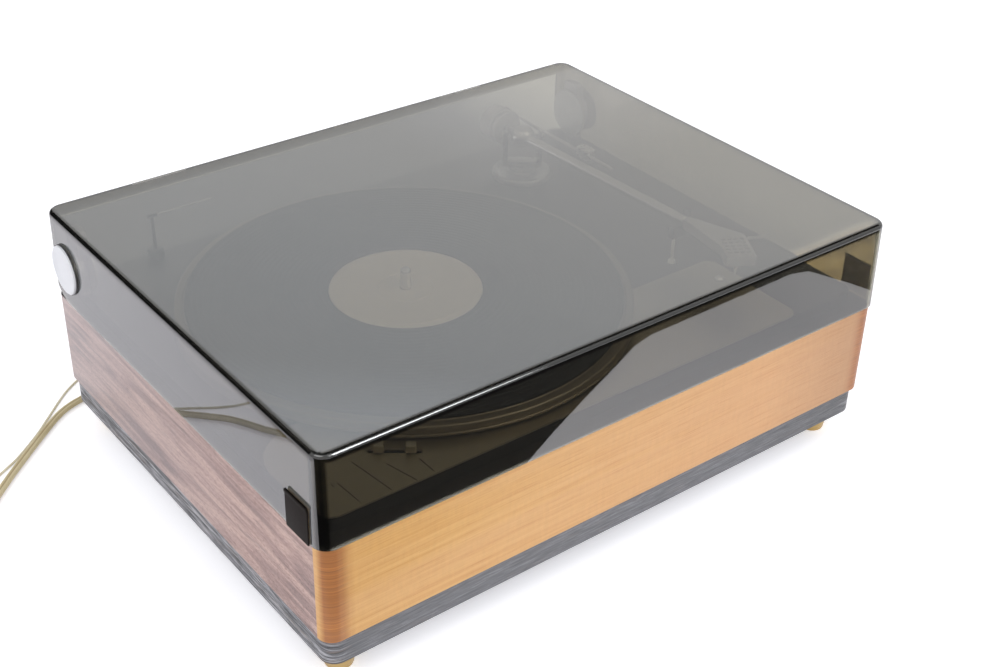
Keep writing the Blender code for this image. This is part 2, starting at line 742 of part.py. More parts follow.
def build_platter_group(materials):
    """Spindle, sub-platter, platter and mat, which turn together."""
    axis = add_axis("platter_axis", (PLATTER_X, PLATTER_Y, 0.0))
    shaft_bottom = SUB_PLATTER_TOP - SHAFT_LENGTH
    spindle_top = LABEL_TOP + SPINDLE_STAND
    spindle = [
        (0.0, shaft_bottom),
        (SHAFT_RADIUS - SPINDLE_RADIUS / 2, shaft_bottom),
        (SHAFT_RADIUS, shaft_bottom + SPINDLE_RADIUS / 2),
        (SHAFT_RADIUS, SUB_PLATTER_TOP),
        (SPINDLE_RADIUS, SUB_PLATTER_TOP),
        (SPINDLE_RADIUS, spindle_top - SPINDLE_DOME),
        (SPINDLE_RADIUS * math.cos(math.pi / 6), spindle_top - SPINDLE_DOME * (1 - math.sin(math.pi / 6))),
        (SPINDLE_RADIUS * math.cos(math.pi / 3), spindle_top - SPINDLE_DOME * (1 - math.sin(math.pi / 3))),
        (0.0, spindle_top),
    ]
    hub_bore = SHAFT_RADIUS + SEAT_GAP
    rim_inner = SUB_PLATTER_RADIUS - SUB_PLATTER_RIM
    sub_bottom = SUB_PLATTER_TOP - SUB_PLATTER_HEIGHT
    sub_web = SUB_PLATTER_TOP - SUB_PLATTER_WEB
    hub_bottom = SUB_PLATTER_TOP - SUB_PLATTER_HUB_HEIGHT
    sub_platter = [
        (hub_bore, hub_bottom),
        (SUB_PLATTER_HUB_RADIUS, hub_bottom),
        (SUB_PLATTER_HUB_RADIUS, sub_web),
        (rim_inner, sub_web),
        (rim_inner, sub_bottom),
        (SUB_PLATTER_RADIUS, sub_bottom),
        (SUB_PLATTER_RADIUS, SUB_PLATTER_TOP),
        (hub_bore, SUB_PLATTER_TOP),
    ]
    bore = SPINDLE_RADIUS + SEAT_GAP
    platter = [
        (bore, WEB_BOTTOM),
        (PLATTER_RADIUS - PLATTER_RIM_WIDTH, WEB_BOTTOM),
        (PLATTER_RADIUS - PLATTER_RIM_WIDTH, PLATTER_BOTTOM),
        (PLATTER_RADIUS - PLATTER_EDGE, PLATTER_BOTTOM),
        (PLATTER_RADIUS, PLATTER_BOTTOM + PLATTER_EDGE),
        (PLATTER_RADIUS, PLATTER_TOP - PLATTER_EDGE),
        (PLATTER_RADIUS - PLATTER_EDGE, PLATTER_TOP),
        (LABEL_RADIUS, PLATTER_TOP),
        (LABEL_RADIUS, LABEL_TOP),
        (bore, LABEL_TOP),
    ]
    mat_bottom = PLATTER_TOP + SEAT_GAP
    mat = [
        (LABEL_RADIUS + SEAT_GAP, mat_bottom),
        (MAT_RADIUS, mat_bottom),
        (MAT_RADIUS, MAT_TOP),
        (LABEL_RADIUS + SEAT_GAP, MAT_TOP),
    ]
    pieces = [
        ("spindle", spindle, SMALL_SIDES, "steel"),
        ("sub_platter", sub_platter, MEDIUM_SIDES, "plastic"),
        ("platter", platter, LARGE_SIDES, "aluminium"),
        ("platter_mat", mat, LARGE_SIDES, "mat"),
    ]
    for name, profile, sides, slot in pieces:
        piece = add_mesh(name, turned(profile, sides), materials[slot], SMOOTH_ANGLE)
        piece.location = (PLATTER_X, PLATTER_Y, 0.0)
        carry(axis, piece)


def pulley_levels():
    """Heights of the motor pulley: its foot, the top of its low step and its own top."""
    belt_middle = SUB_PLATTER_TOP - SUB_PLATTER_HEIGHT / 2
    step_bottom = belt_middle - PULLEY_STEP / 2
    step_top = belt_middle + PULLEY_STEP / 2
    return step_bottom, step_top


def build_motor(materials):
    """Motor under the pan and its stepped pulley above it."""
    place = (PLATTER_X + MOTOR_OFFSET_X, PLATTER_Y + MOTOR_OFFSET_Y, 0.0)
    top = WELL_UNDERSIDE - SEAT_GAP
    bottom = top - MOTOR_HEIGHT
    bore = MOTOR_SHAFT_RADIUS + SEAT_GAP
    body = [
        (0.0, bottom),
        (MOTOR_RADIUS - MOTOR_EDGE, bottom),
        (MOTOR_RADIUS, bottom + MOTOR_EDGE),
        (MOTOR_RADIUS, top - MOTOR_EDGE),
        (MOTOR_RADIUS - MOTOR_EDGE, top),
        (bore, top),
        (bore, top - MOTOR_BORE_DEPTH),
        (0.0, top - MOTOR_BORE_DEPTH),
    ]
    motor = add_mesh("motor_body", turned(body, SMALL_SIDES), materials["steel"], SMOOTH_ANGLE)
    motor.location = place
    step_bottom, step_top = pulley_levels()
    shaft_bottom = top - MOTOR_BORE_DEPTH + SEAT_GAP
    pulley = [
        (0.0, shaft_bottom),
        (MOTOR_SHAFT_RADIUS, shaft_bottom),
        (MOTOR_SHAFT_RADIUS, step_bottom - PULLEY_STEP),
        (PULLEY_HIGH_RADIUS, step_bottom - PULLEY_STEP),
        (PULLEY_HIGH_RADIUS, step_bottom),
        (PULLEY_LOW_RADIUS, step_bottom),
        (PULLEY_LOW_RADIUS, step_top),
        (PULLEY_HIGH_RADIUS, step_top),
        (PULLEY_HIGH_RADIUS, step_top + PULLEY_CROWN),
        (0.0, step_top + PULLEY_CROWN),
    ]
    axis = add_axis("motor_axis", place)
    wheel = add_mesh("motor_pulley", turned(pulley, SMALL_SIDES), materials["brass"], SMOOTH_ANGLE)
    wheel.location = place
    carry(axis, wheel)


def belt_loop(gap):
    """Outline of the belt at a distance from the two wheels that it runs round."""
    reach = math.hypot(MOTOR_OFFSET_X, MOTOR_OFFSET_Y)
    heading = math.atan2(MOTOR_OFFSET_Y, MOTOR_OFFSET_X)
    spread = math.acos((SUB_PLATTER_RADIUS - PULLEY_LOW_RADIUS) / reach)
    large = arc((0.0, 0.0), SUB_PLATTER_RADIUS + gap, heading + spread,
                heading + 2 * math.pi - spread, MEDIUM_SIDES)
    small = arc((MOTOR_OFFSET_X, MOTOR_OFFSET_Y), PULLEY_LOW_RADIUS + gap,
                heading - spread, heading + spread, FINE_SIDES)
    return large + small


def build_belt(material):
    """Flat belt round the sub-platter and the low step of the pulley."""
    middle = SUB_PLATTER_TOP - SUB_PLATTER_HEIGHT / 2
    bottom = middle - BELT_WIDTH / 2
    top = middle + BELT_WIDTH / 2
    inner = belt_loop(SEAT_GAP)
    outer = belt_loop(SEAT_GAP + BELT_THICKNESS)
    loops = [level(outer, bottom), level(outer, top), level(inner, top), level(inner, bottom)]
    belt = add_mesh("drive_belt", loft(loops, closed=True), material)
    belt.location = (PLATTER_X, PLATTER_Y, 0.0)


def strip_outline():
    """Outline of the control strip, hollowed where it passes under the platter."""
    rear = STRIP_REAR
    left_radius = DECK_CORNER_RADIUS
    chord = math.sqrt(STRIP_CLEAR_RADIUS ** 2 - (PLATTER_Y - rear) ** 2)
    right_angle = math.atan2(rear - PLATTER_Y, chord)
    left_angle = -math.pi - right_angle
    points = []
    points += arc((DECK_LEFT + left_radius, DECK_FRONT + left_radius), left_radius,
                  math.pi, 3 * math.pi / 2, CORNER_STEPS)
    points += arc((STRIP_RIGHT_X - STRIP_END_RADIUS, DECK_FRONT + STRIP_END_RADIUS), STRIP_END_RADIUS,
                  -math.pi / 2, 0.0, CORNER_STEPS)
    points += arc((STRIP_RIGHT_X - STRIP_END_RADIUS, rear - STRIP_END_RADIUS), STRIP_END_RADIUS,
                  0.0, math.pi / 2, CORNER_STEPS)
    points += arc((PLATTER_X, PLATTER_Y), STRIP_CLEAR_RADIUS, right_angle, left_angle, MEDIUM_SIDES)
    points += arc((DECK_LEFT + STRIP_REAR_RADIUS, rear - STRIP_REAR_RADIUS), STRIP_REAR_RADIUS,
                  math.pi / 2, math.pi, CORNER_STEPS)
    return points


def build_strip(material):
    """Light metal strip with the lever slot and a fixing screw."""
    strip = add_mesh("control_strip", prism(strip_outline(), ON_DECK, STRIP_TOP), material)
    low = ON_DECK - OVERRUN
    high = STRIP_TOP + OVERRUN
    cut(strip, "strip_slot_cutter", prism(slot_outline(SLOT_LENGTH, SLOT_WIDTH), low, high),
        (SLOT_X, SLOT_Y, 0.0), slot_rotation())
    screw_hole = STRIP_SCREW_SHANK + SEAT_GAP
    cut(strip, "strip_screw_cutter", prism(circle(screw_hole, FINE_SIDES), low, high),
        (STRIP_SCREW_X, STRIP_SCREW_Y, 0.0))


def build_strip_screw(material):
    """Round-headed screw at the right end of the strip."""
    seat = STRIP_TOP + SEAT_GAP
    profile = [
        (0.0, seat - STRIP_SCREW_LENGTH),
        (STRIP_SCREW_SHANK, seat - STRIP_SCREW_LENGTH),
        (STRIP_SCREW_SHANK, seat),
        (STRIP_SCREW_RADIUS, seat),
        (STRIP_SCREW_RADIUS, seat + STRIP_SCREW_HEIGHT / 2),
        (STRIP_SCREW_RADIUS - STRIP_SCREW_HEIGHT / 2, seat + STRIP_SCREW_HEIGHT),
        (0.0, seat + STRIP_SCREW_HEIGHT),
    ]
    screw = add_mesh("strip_screw", turned(profile, FINE_SIDES), material, SMOOTH_ANGLE)
    screw.location = (STRIP_SCREW_X, STRIP_SCREW_Y, 0.0)


def build_levers(material):
    """Two small sliding levers that stand in the slot."""
    turn = math.radians(SLOT_TURN_DEGREES)
    cap_bottom = STRIP_TOP + LEVER_LIFT
    cap_top = cap_bottom + LEVER_CAP_HEIGHT
    for name, side in (("speed_lever", -1), ("start_lever", 1)):
        base = centred_rectangle(LEVER_CAP_LENGTH, LEVER_CAP_WIDTH, LEVER_CAP_EDGE, 2)
        top = centred_rectangle(LEVER_CAP_LENGTH - LEVER_CAP_EDGE, LEVER_CAP_WIDTH - LEVER_CAP_EDGE,
                                LEVER_CAP_EDGE, 2)
        loops = [
            level(base, cap_bottom),
            level(base, cap_top - LEVER_CAP_EDGE),
            level(top, cap_top),
        ]
        lever = add_mesh(name, loft(loops), material)
        stem = block(LEVER_STEM_LENGTH, LEVER_STEM_WIDTH, LEVER_STEM_DEPTH + LEVER_LIFT)
        join(lever, name + "_stem", stem, (0.0, 0.0, cap_bottom + LEVER_LIFT - LEVER_STEM_DEPTH / 2))
        lever.location = (
            SLOT_X + side * LEVER_SPACING / 2 * math.cos(turn),
            SLOT_Y + side * LEVER_SPACING / 2 * math.sin(turn),
            0.0,
        )
        lever.rotation_euler = (0.0, 0.0, turn)


def build_arm_base(material):
    """Round base that carries the arm's vertical bearing through the deck."""
    bore = YOKE_SHAFT_RADIUS + SEAT_GAP
    bottom = DECK_TOP - ARM_STEM_LENGTH
    flange_top = ON_DECK + ARM_BASE_HEIGHT
    profile = [
        (bore, bottom),
        (ARM_STEM_RADIUS, bottom),
        (ARM_STEM_RADIUS, ON_DECK),
        (ARM_BASE_RADIUS, ON_DECK),
        (ARM_BASE_RADIUS, flange_top - ARM_BASE_EDGE),
        (ARM_BASE_RADIUS - ARM_BASE_EDGE, flange_top),
        (ARM_BOSS_RADIUS, flange_top),
        (ARM_BOSS_RADIUS, ON_DECK + ARM_BOSS_HEIGHT),
        (bore, ON_DECK + ARM_BOSS_HEIGHT),
    ]
    base = add_mesh("arm_base", turned(profile, MEDIUM_SIDES), material, SMOOTH_ANGLE)
    base.location = (ARM_X, ARM_Y, 0.0)


def yoke_outline():
    """Outline of the fork that holds the arm between two cheeks, seen along its own depth."""
    outer = YOKE_INNER_HALF + YOKE_CHEEK
    bottom = ON_DECK + ARM_BOSS_HEIGHT + SEAT_GAP
    top = ARM_Z + YOKE_TOP_RISE
    return [
        (-outer, bottom), (outer, bottom), (outer, top - YOKE_CHEEK / 2), (outer - YOKE_CHEEK / 2, top),
        (YOKE_INNER_HALF, top), (YOKE_INNER_HALF, bottom + YOKE_BRIDGE),
        (-YOKE_INNER_HALF, bottom + YOKE_BRIDGE), (-YOKE_INNER_HALF, top),
        (-outer + YOKE_CHEEK / 2, top), (-outer, top - YOKE_CHEEK / 2),
    ]


def upright_prism(points, thickness):
    """Extrudes an outline of X and Z along Y, both ways from the middle."""
    front = [(x, -thickness / 2, z) for x, z in points]
    rear = [(x, thickness / 2, z) for x, z in points]
    return loft([front, rear])


def build_yoke(materials):
    """Fork on the vertical shaft, with the two pivot screws that the arm tips on."""
    axis = add_axis("arm_swing_axis", (ARM_X, ARM_Y, ARM_Z))
    turn = math.radians(YOKE_TURN_DEGREES)
    yoke = add_mesh("arm_yoke", upright_prism(yoke_outline(), YOKE_DEPTH), materials["black_metal"])
    shaft_top = ON_DECK + ARM_BOSS_HEIGHT + SEAT_GAP + YOKE_BRIDGE / 2
    shaft = prism(circle(YOKE_SHAFT_RADIUS, SMALL_SIDES), shaft_top - YOKE_SHAFT_LENGTH, shaft_top)
    join(yoke, "yoke_shaft", shaft)
    hole = turn_to(prism(circle(PIVOT_RADIUS + SEAT_GAP, FINE_SIDES), -YOKE_INNER_HALF - 2 * YOKE_CHEEK,
                         YOKE_INNER_HALF + 2 * YOKE_CHEEK), rotation_about("Y", math.pi / 2))
    cut(yoke, "yoke_pivot_cutter", hole, (0.0, 0.0, ARM_Z))
    yoke.location = (ARM_X, ARM_Y, 0.0)
    yoke.rotation_euler = (0.0, 0.0, turn)
    carry(axis, yoke)
    outer = YOKE_INNER_HALF + YOKE_CHEEK + SEAT_GAP
    screw = [
        (0.0, HUB_RADIUS + SEAT_GAP),
        (PIVOT_RADIUS, HUB_RADIUS + PIVOT_RADIUS),
        (PIVOT_RADIUS, outer),
        (PIVOT_HEAD_RADIUS, outer),
        (PIVOT_HEAD_RADIUS, outer + PIVOT_HEAD),
        (0.0, outer + PIVOT_HEAD),
    ]
    for side, sign in (("left", -1), ("right", 1)):
        shape = turn_to(turned(screw, FINE_SIDES), rotation_about("Y", sign * math.pi / 2))
        pivot = add_mesh("pivot_screw_" + side, shape, materials["steel"], SMOOTH_ANGLE)
        pivot.location = (ARM_X, ARM_Y, ARM_Z)
        pivot.rotation_euler = (0.0, 0.0, turn)
        carry(axis, pivot)


def along_arm(profile, sides):
    """Turns a profile whose heights run forward along the arm, then lays it down along -Y."""
    return turn_to(turned(profile, sides), rotation_about("X", math.pi / 2))


def build_arm_tube(axis, material):
    """Straight bright tube with the ball that it tips on and a stub behind it."""
    profile = [(0.0, -STUB_REACH), (STUB_RADIUS, -STUB_REACH)]
    start = math.pi - math.asin(STUB_RADIUS / HUB_RADIUS)
    end = math.asin(TUBE_RADIUS / HUB_RADIUS)
    for index in range(CORNER_STEPS + 1):
        angle = start + (end - start) * index / CORNER_STEPS
        profile.append((HUB_RADIUS * math.sin(angle), HUB_RADIUS * math.cos(angle)))
    profile += [(TUBE_RADIUS, TUBE_REACH), (0.0, TUBE_REACH)]
    tube = add_mesh("arm_tube", along_arm(profile, SMALL_SIDES), material, SMOOTH_ANGLE)
    tube.location = (ARM_X, ARM_Y, ARM_Z)
    tube.rotation_euler = (0.0, 0.0, math.radians(ARM_TURN_DEGREES))
    carry(axis, tube)


def build_counterweight(material):
    """Dark weight that slides on the stub behind the pivot."""
    bore = STUB_RADIUS + SEAT_GAP
    rear = -WEIGHT_START - WEIGHT_LENGTH
    front = -WEIGHT_START
    profile = [
        (bore, rear),
        (WEIGHT_RADIUS - WEIGHT_EDGE, rear),
        (WEIGHT_RADIUS, rear + WEIGHT_EDGE),
        (WEIGHT_RADIUS, front - 3 * WEIGHT_EDGE),
        (WEIGHT_RADIUS - WEIGHT_GROOVE, front - 3 * WEIGHT_EDGE),
        (WEIGHT_RADIUS - WEIGHT_GROOVE, front - 2 * WEIGHT_EDGE),
        (WEIGHT_RADIUS, front - 2 * WEIGHT_EDGE),
        (WEIGHT_RADIUS, front - WEIGHT_EDGE / 2),
        (WEIGHT_RADIUS - WEIGHT_EDGE / 2, front),
        (bore, front),
    ]
    axis = add_axis("counterweight_axis", (ARM_X, ARM_Y, ARM_Z))
    weight = add_mesh("counterweight", along_arm(profile, SMALL_SIDES), material, SMOOTH_ANGLE)
    weight.location = (ARM_X, ARM_Y, ARM_Z)
    weight.rotation_euler = (0.0, 0.0, math.radians(ARM_TURN_DEGREES))
    carry(axis, weight)


def build_side_rod(axis, material):
    """Thin rod beside the tube, held by a plate behind the end of the stub."""
    stub_end_y = STUB_REACH * math.cos(math.radians(ARM_TURN_DEGREES))
    stub_end_x = -STUB_REACH * math.sin(math.radians(ARM_TURN_DEGREES))
    plate_front = stub_end_y + SEAT_GAP + STUB_RADIUS * math.sin(math.radians(ARM_TURN_DEGREES))
    left = stub_end_x - STUB_RADIUS
    right = ROD_OFFSET + ROD_RADIUS
    plate = block(right - left, ROD_PLATE, ROD_PLATE_HEIGHT)
    rod = add_mesh("side_rod", plate, material)
    middle = (left + right) / 2
    rod.location = (ARM_X + middle, ARM_Y + plate_front + ROD_PLATE / 2, ARM_Z)
    length = ROD_FRONT + plate_front + ROD_PLATE / 2
    bar = turn_to(prism(circle(ROD_RADIUS, FINE_SIDES), 0.0, length), rotation_about("X", math.pi / 2))
    join(rod, "side_rod_bar", bar, (ROD_OFFSET - middle, 0.0, 0.0))
    carry(axis, rod)


def build_rider(material):
    """Small weight that slides along the side rod."""
    shape = prism(centred_rectangle(RIDER_WIDTH, RIDER_LENGTH, RIDER_EDGE, 3), -RIDER_HEIGHT / 2,
                  RIDER_HEIGHT / 2)
    axis = add_axis("rider_axis", (ARM_X + ROD_OFFSET, ARM_Y, ARM_Z))
    rider = add_mesh("rider_weight", shape, material)
    bore = turn_to(prism(circle(ROD_RADIUS + SEAT_GAP, FINE_SIDES), -RIDER_LENGTH, RIDER_LENGTH),
                   rotation_about("X", math.pi / 2))
    cut(rider, "rider_bore_cutter", bore, (-RIDER_OFFSET, 0.0, 0.0))
    rider.location = (ARM_X + ROD_OFFSET + RIDER_OFFSET, ARM_Y - RIDER_FRONT + RIDER_LENGTH / 2, ARM_Z)
    carry(axis, rider)


def tube_end():
    """Where the tube ends, seen from above, from the arm's pivot."""
    turn = math.radians(ARM_TURN_DEGREES)
    return (TUBE_REACH * math.sin(turn), -TUBE_REACH * math.cos(turn))


def shell_point(x, y):
    """Turns a point of the headshell's own space, seen from above, into one about the pivot."""
    end_x, end_y = tube_end()
    turn = math.radians(SHELL_TURN_DEGREES)
    return (
        end_x - SHELL_SIDE_STEP + x * math.cos(turn) - y * math.sin(turn),
        end_y - SHELL_AHEAD + x * math.sin(turn) + y * math.cos(turn),
    )


def shell_outline(inset):
    """Outline of the headshell: a narrow neck that widens to an offset head."""
    end_x, end_y = tube_end()
    turn = math.radians(ARM_TURN_DEGREES)
    neck_y = end_y - SEAT_GAP - TUBE_RADIUS * math.sin(turn) - inset
    half = SHELL_WIDTH / 2 - inset
    reach = SHELL_LENGTH / 2 - inset
    neck = SHELL_NECK_HALF - inset
    return [
        (end_x + neck, neck_y),
        (end_x - neck, neck_y),
        shell_point(-half, 0.0),
        shell_point(-half, -reach + SHELL_THICKNESS),
        shell_point(-half + SHELL_THICKNESS, -reach),
        shell_point(half, -reach),
        shell_point(half, reach),
    ]


def build_headshell(axis, material):
    """Shallow pressed headshell, open below, with a grid of slots through its top."""
    top = ARM_Z + SHELL_RISE
    bottom = top - SHELL_HEIGHT
    shell = add_mesh("headshell", prism(shell_outline(0.0), bottom, top), material)
    hollow = prism(shell_outline(SHELL_THICKNESS), bottom - OVERRUN, top - SHELL_THICKNESS)
    cut(shell, "headshell_hollow_cutter", hollow)
    holes = bmesh.new()
    turn = math.radians(SHELL_TURN_DEGREES)
    for column in range(HOLE_COLUMNS):
        for row in range(HOLE_ROWS):
            x = (column - (HOLE_COLUMNS - 1) / 2) * HOLE_PITCH_X
            y = (row - (HOLE_ROWS - 1) / 2) * HOLE_PITCH_Y
            place = shell_point(x, y)
            spot = Matrix.Translation((place[0], place[1], top)) @ rotation_about("Z", turn)
            made = bmesh.ops.create_cube(holes, size=1.0, matrix=spot)
            scale = Matrix.Diagonal((HOLE_LENGTH, HOLE_WIDTH, 3 * SHELL_THICKNESS, 1.0))
            bmesh.ops.transform(holes, matrix=spot @ scale @ spot.inverted(), verts=made["verts"])
    cut(shell, "headshell_hole_cutter", holes)
    shell.location = (ARM_X, ARM_Y, 0.0)
    carry(axis, shell)


def build_finger_lift(axis, material):
    """Thin lift at the rear right corner of the headshell, curled up at its end."""
    top = ARM_Z + SHELL_RISE
    half = SHELL_WIDTH / 2 + SEAT_GAP
    reach = SHELL_LENGTH / 2 - LIFT_WIDTH
    path = [(half, top - LIFT_THICKNESS), (half + LIFT_LENGTH / 2, top - LIFT_THICKNESS)]
    path += [(half + LIFT_LENGTH * 3 / 4, top - LIFT_THICKNESS + LIFT_CURL / 4)]
    path += [(half + LIFT_LENGTH, top - LIFT_THICKNESS + LIFT_CURL)]
    under = [(x, z - LIFT_THICKNESS) for x, z in reversed(path)]
    lift = add_mesh("finger_lift", upright_prism(path + under, LIFT_WIDTH), material)
    place = shell_point(0.0, reach)
    lift.location = (ARM_X + place[0], ARM_Y + place[1], 0.0)
    lift.rotation_euler = (0.0, 0.0, math.radians(SHELL_TURN_DEGREES))
    carry(axis, lift)


def build_cartridge(axis, materials):
    """Cartridge under the headshell and the stylus at its nose, held just above a record."""
    turn = math.radians(SHELL_TURN_DEGREES)
    top = ARM_Z + SHELL_RISE - SHELL_THICKNESS - SEAT_GAP
    bottom = top - CARTRIDGE_HEIGHT
    half = CARTRIDGE_LENGTH / 2
    side = [
        (-half, bottom + CARTRIDGE_NOSE), (-half + CARTRIDGE_NOSE, bottom), (half, bottom),
        (half, top), (-half, top),
    ]
    body = turn_to(upright_prism(side, CARTRIDGE_WIDTH), rotation_about("Z", math.pi / 2))
    cartridge = add_mesh("cartridge", body, materials["plastic"])
    place = shell_point(0.0, 0.0)
    cartridge.location = (ARM_X + place[0], ARM_Y + place[1], 0.0)
    cartridge.rotation_euler = (0.0, 0.0, turn)
    carry(axis, cartridge)
    tip = bottom - STYLUS_DROP
    start = centred_rectangle(STYLUS_WIDTH, STYLUS_LENGTH, STYLUS_TIP / 2, 2)
    end = centred_rectangle(STYLUS_TIP, STYLUS_TIP, STYLUS_TIP / 4, 2)
    stylus = add_mesh("stylus", loft([level(end, tip), level(start, bottom - SEAT_GAP)]), materials["steel"])
    nose = shell_point(0.0, CARTRIDGE_NOSE + STYLUS_LENGTH / 2 - half)
    stylus.location = (ARM_X + nose[0], ARM_Y + nose[1], 0.0)
    stylus.rotation_euler = (0.0, 0.0, turn)
    carry(axis, stylus)


def build_tonearm(materials):
    """The pieces that tip together, and the two weights that slide on them."""
    axis = add_axis("arm_tilt_axis", (ARM_X, ARM_Y, ARM_Z))
    build_arm_tube(axis, materials["bright"])
    build_side_rod(axis, materials["bright"])
    build_headshell(axis, materials["shell_metal"])
    build_finger_lift(axis, materials["bright"])
    build_cartridge(axis, materials)
    build_counterweight(materials["black_metal"])
    build_rider(materials["steel"])


def build_arm_rest(materials):
    """Thin post with a clip, open towards the platter, that the tube lies in."""
    post = [
        (0.0, ON_DECK),
        (REST_COLLAR_RADIUS, ON_DECK),
        (REST_COLLAR_RADIUS - REST_POST_RADIUS / 2, ON_DECK + REST_COLLAR_HEIGHT),
        (REST_POST_RADIUS, ON_DECK + REST_COLLAR_HEIGHT),
        (REST_POST_RADIUS, REST_TOP),
        (0.0, REST_TOP),
    ]
    item = add_mesh("arm_rest_post", turned(post, FINE_SIDES), materials["bright"], SMOOTH_ANGLE)
    item.location = (REST_X, REST_Y, 0.0)
    tube_x = ARM_X + (ARM_Y - REST_Y) * math.tan(math.radians(ARM_TURN_DEGREES)) - REST_X
    lean = REST_CLIP_DEPTH / 2 * math.sin(math.radians(ARM_TURN_DEGREES))
    bottom = REST_TOP + SEAT_GAP
    seat = ARM_Z - TUBE_RADIUS - SEAT_GAP
    left = -REST_COLLAR_RADIUS
    prong = tube_x + TUBE_RADIUS + SEAT_GAP + lean
    right = prong + REST_CLIP_WALL
    top = ARM_Z + TUBE_RADIUS + REST_CLIP_RISE
    outline = [
        (left, bottom), (right, bottom), (right, top), (prong, top), (prong, seat),
        (left, seat),
    ]
    clip = add_mesh("arm_rest_clip", upright_prism(outline, REST_CLIP_DEPTH), materials["plastic"])
    clip.location = (REST_X, REST_Y, 0.0)


def build_side_post(materials):
    """Post at the rear left, whose thin arm swings round with the post."""
    bore = POST_RADIUS + SEAT_GAP
    base = [
        (0.0, ON_DECK),
        (POST_BASE_RADIUS, ON_DECK),
        (POST_BASE_RADIUS, ON_DECK + POST_BASE_HEIGHT - POST_RADIUS),
        (POST_BASE_RADIUS - POST_RADIUS, ON_DECK + POST_BASE_HEIGHT),
        (bore, ON_DECK + POST_BASE_HEIGHT),
        (bore, ON_DECK + POST_BASE_HEIGHT / 2),
        (0.0, ON_DECK + POST_BASE_HEIGHT / 2),
    ]
    item = add_mesh("side_post_base", turned(base, SMALL_SIDES), materials["plastic"], SMOOTH_ANGLE)
    item.location = (POST_X, POST_Y, 0.0)
    axis = add_axis("side_post_axis", (POST_X, POST_Y, 0.0))
    foot = ON_DECK + POST_BASE_HEIGHT / 2 + SEAT_GAP
    head = ON_DECK + POST_BASE_HEIGHT + POST_HEIGHT
    post = add_mesh("side_post", prism(circle(POST_RADIUS, FINE_SIDES), foot, head), materials["black_metal"])
    cap = turn_to(prism(circle(POST_CAP_RADIUS, FINE_SIDES, start=math.pi / FINE_SIDES / 2),
                        -POST_CAP_LENGTH / 2, POST_CAP_LENGTH / 2), rotation_about("Y", math.pi / 2))
    join(post, "side_post_cap", cap, (0.0, 0.0, head + POST_CAP_RADIUS / 2))
    post.location = (POST_X, POST_Y, 0.0)
    carry(axis, post)
    rod = turn_to(prism(circle(SIDE_ARM_RADIUS, FINE_SIDES), 0.0, SIDE_ARM_LENGTH),
                  rotation_about("Y", math.pi / 2))
    arm = add_mesh("side_arm", rod, materials["bright"], SMOOTH_ANGLE)
    arm.location = (POST_X + POST_CAP_LENGTH / 2 + SEAT_GAP, POST_Y, head + POST_CAP_RADIUS / 2)
    carry(axis, arm)


def lid_loop(drop, inset, radius):
    """One level of the lid's skin, a distance below its top and inside its outer face."""
    share = 1.0 - drop / LID_HEIGHT
    width = LID_WIDTH - 2 * (inset + LID_DRAFT * share)
    depth = LID_DEPTH - 2 * (inset + LID_DRAFT * share)
    return level(centred_rectangle(width, depth, radius), LID_TOP - drop)


def lid_edge(inset, start_drop, edge, corner, steps):
    """Levels of a rounded top edge, from the flat top out to the wall."""
    loops = []
    for index in range(steps + 1):
        angle = math.pi / 2 * index / steps
        back = edge * (1 - math.sin(angle))
        drop = start_drop + edge * (1 - math.cos(angle))
        loops.append(lid_loop(drop, inset + back, max(corner - back, edge / 2)))
    return loops


def lid_side_profile():
    """Outline, in depth and height, of what is cut from the lid's lower rear corners."""
    centre = (HINGE_Y, HINGE_Z)
    points = arc(centre, HINGE_RISE, -math.pi / 2, 0.0, 2 * CORNER_STEPS)
    points.append((HALF_DEPTH + OVERRUN, HINGE_Z))
    points.append((HALF_DEPTH + OVERRUN, LID_BOTTOM - OVERRUN))
    points.append((HINGE_Y, LID_BOTTOM - OVERRUN))
    return points


def build_lid_shell(material):
    """Smoked cover moulded in one piece: drafted walls, round edges, open below and behind."""
    inner_corner = LID_CORNER_RADIUS - LID_WALL
    outer = lid_edge(0.0, 0.0, LID_EDGE_RADIUS, LID_CORNER_RADIUS, 4)
    inner = lid_edge(LID_WALL, LID_WALL, LID_INNER_EDGE_RADIUS, inner_corner, 2)
    loops = outer
    loops.append(lid_loop(LID_HEIGHT, 0.0, LID_CORNER_RADIUS))
    loops.append(lid_loop(LID_HEIGHT, LID_WALL, inner_corner))
    loops += list(reversed(inner))
    lid = add_mesh("lid_shell", loft(loops), material, SMOOTH_ANGLE)
    rear_width = LID_WIDTH - 2 * LID_CORNER_RETURN
    rear_low = LID_BOTTOM - OVERRUN
    rear_high = LID_TOP - LID_REAR_LIP
    rear = block(rear_width, LID_CORNER_RADIUS + OVERRUN, rear_high - rear_low)
    cut(lid, "lid_rear_cutter", rear,
        (0.0, HALF_DEPTH - LID_CORNER_RADIUS / 2 + OVERRUN / 2, (rear_low + rear_high) / 2))
    corner_half = HALF_WIDTH + OVERRUN
    profile = lid_side_profile()
    sweep = loft([[(-corner_half, y, z) for y, z in profile], [(corner_half, y, z) for y, z in profile]])
    cut(lid, "lid_corner_cutter", sweep)
    bore = turn_to(prism(circle(HINGE_PIN_RADIUS + SEAT_GAP, SMALL_SIDES), -corner_half, corner_half),
                   rotation_about("Y", math.pi / 2))
    cut(lid, "lid_pin_cutter", bore, (0.0, HINGE_Y, HINGE_Z))
    return lid


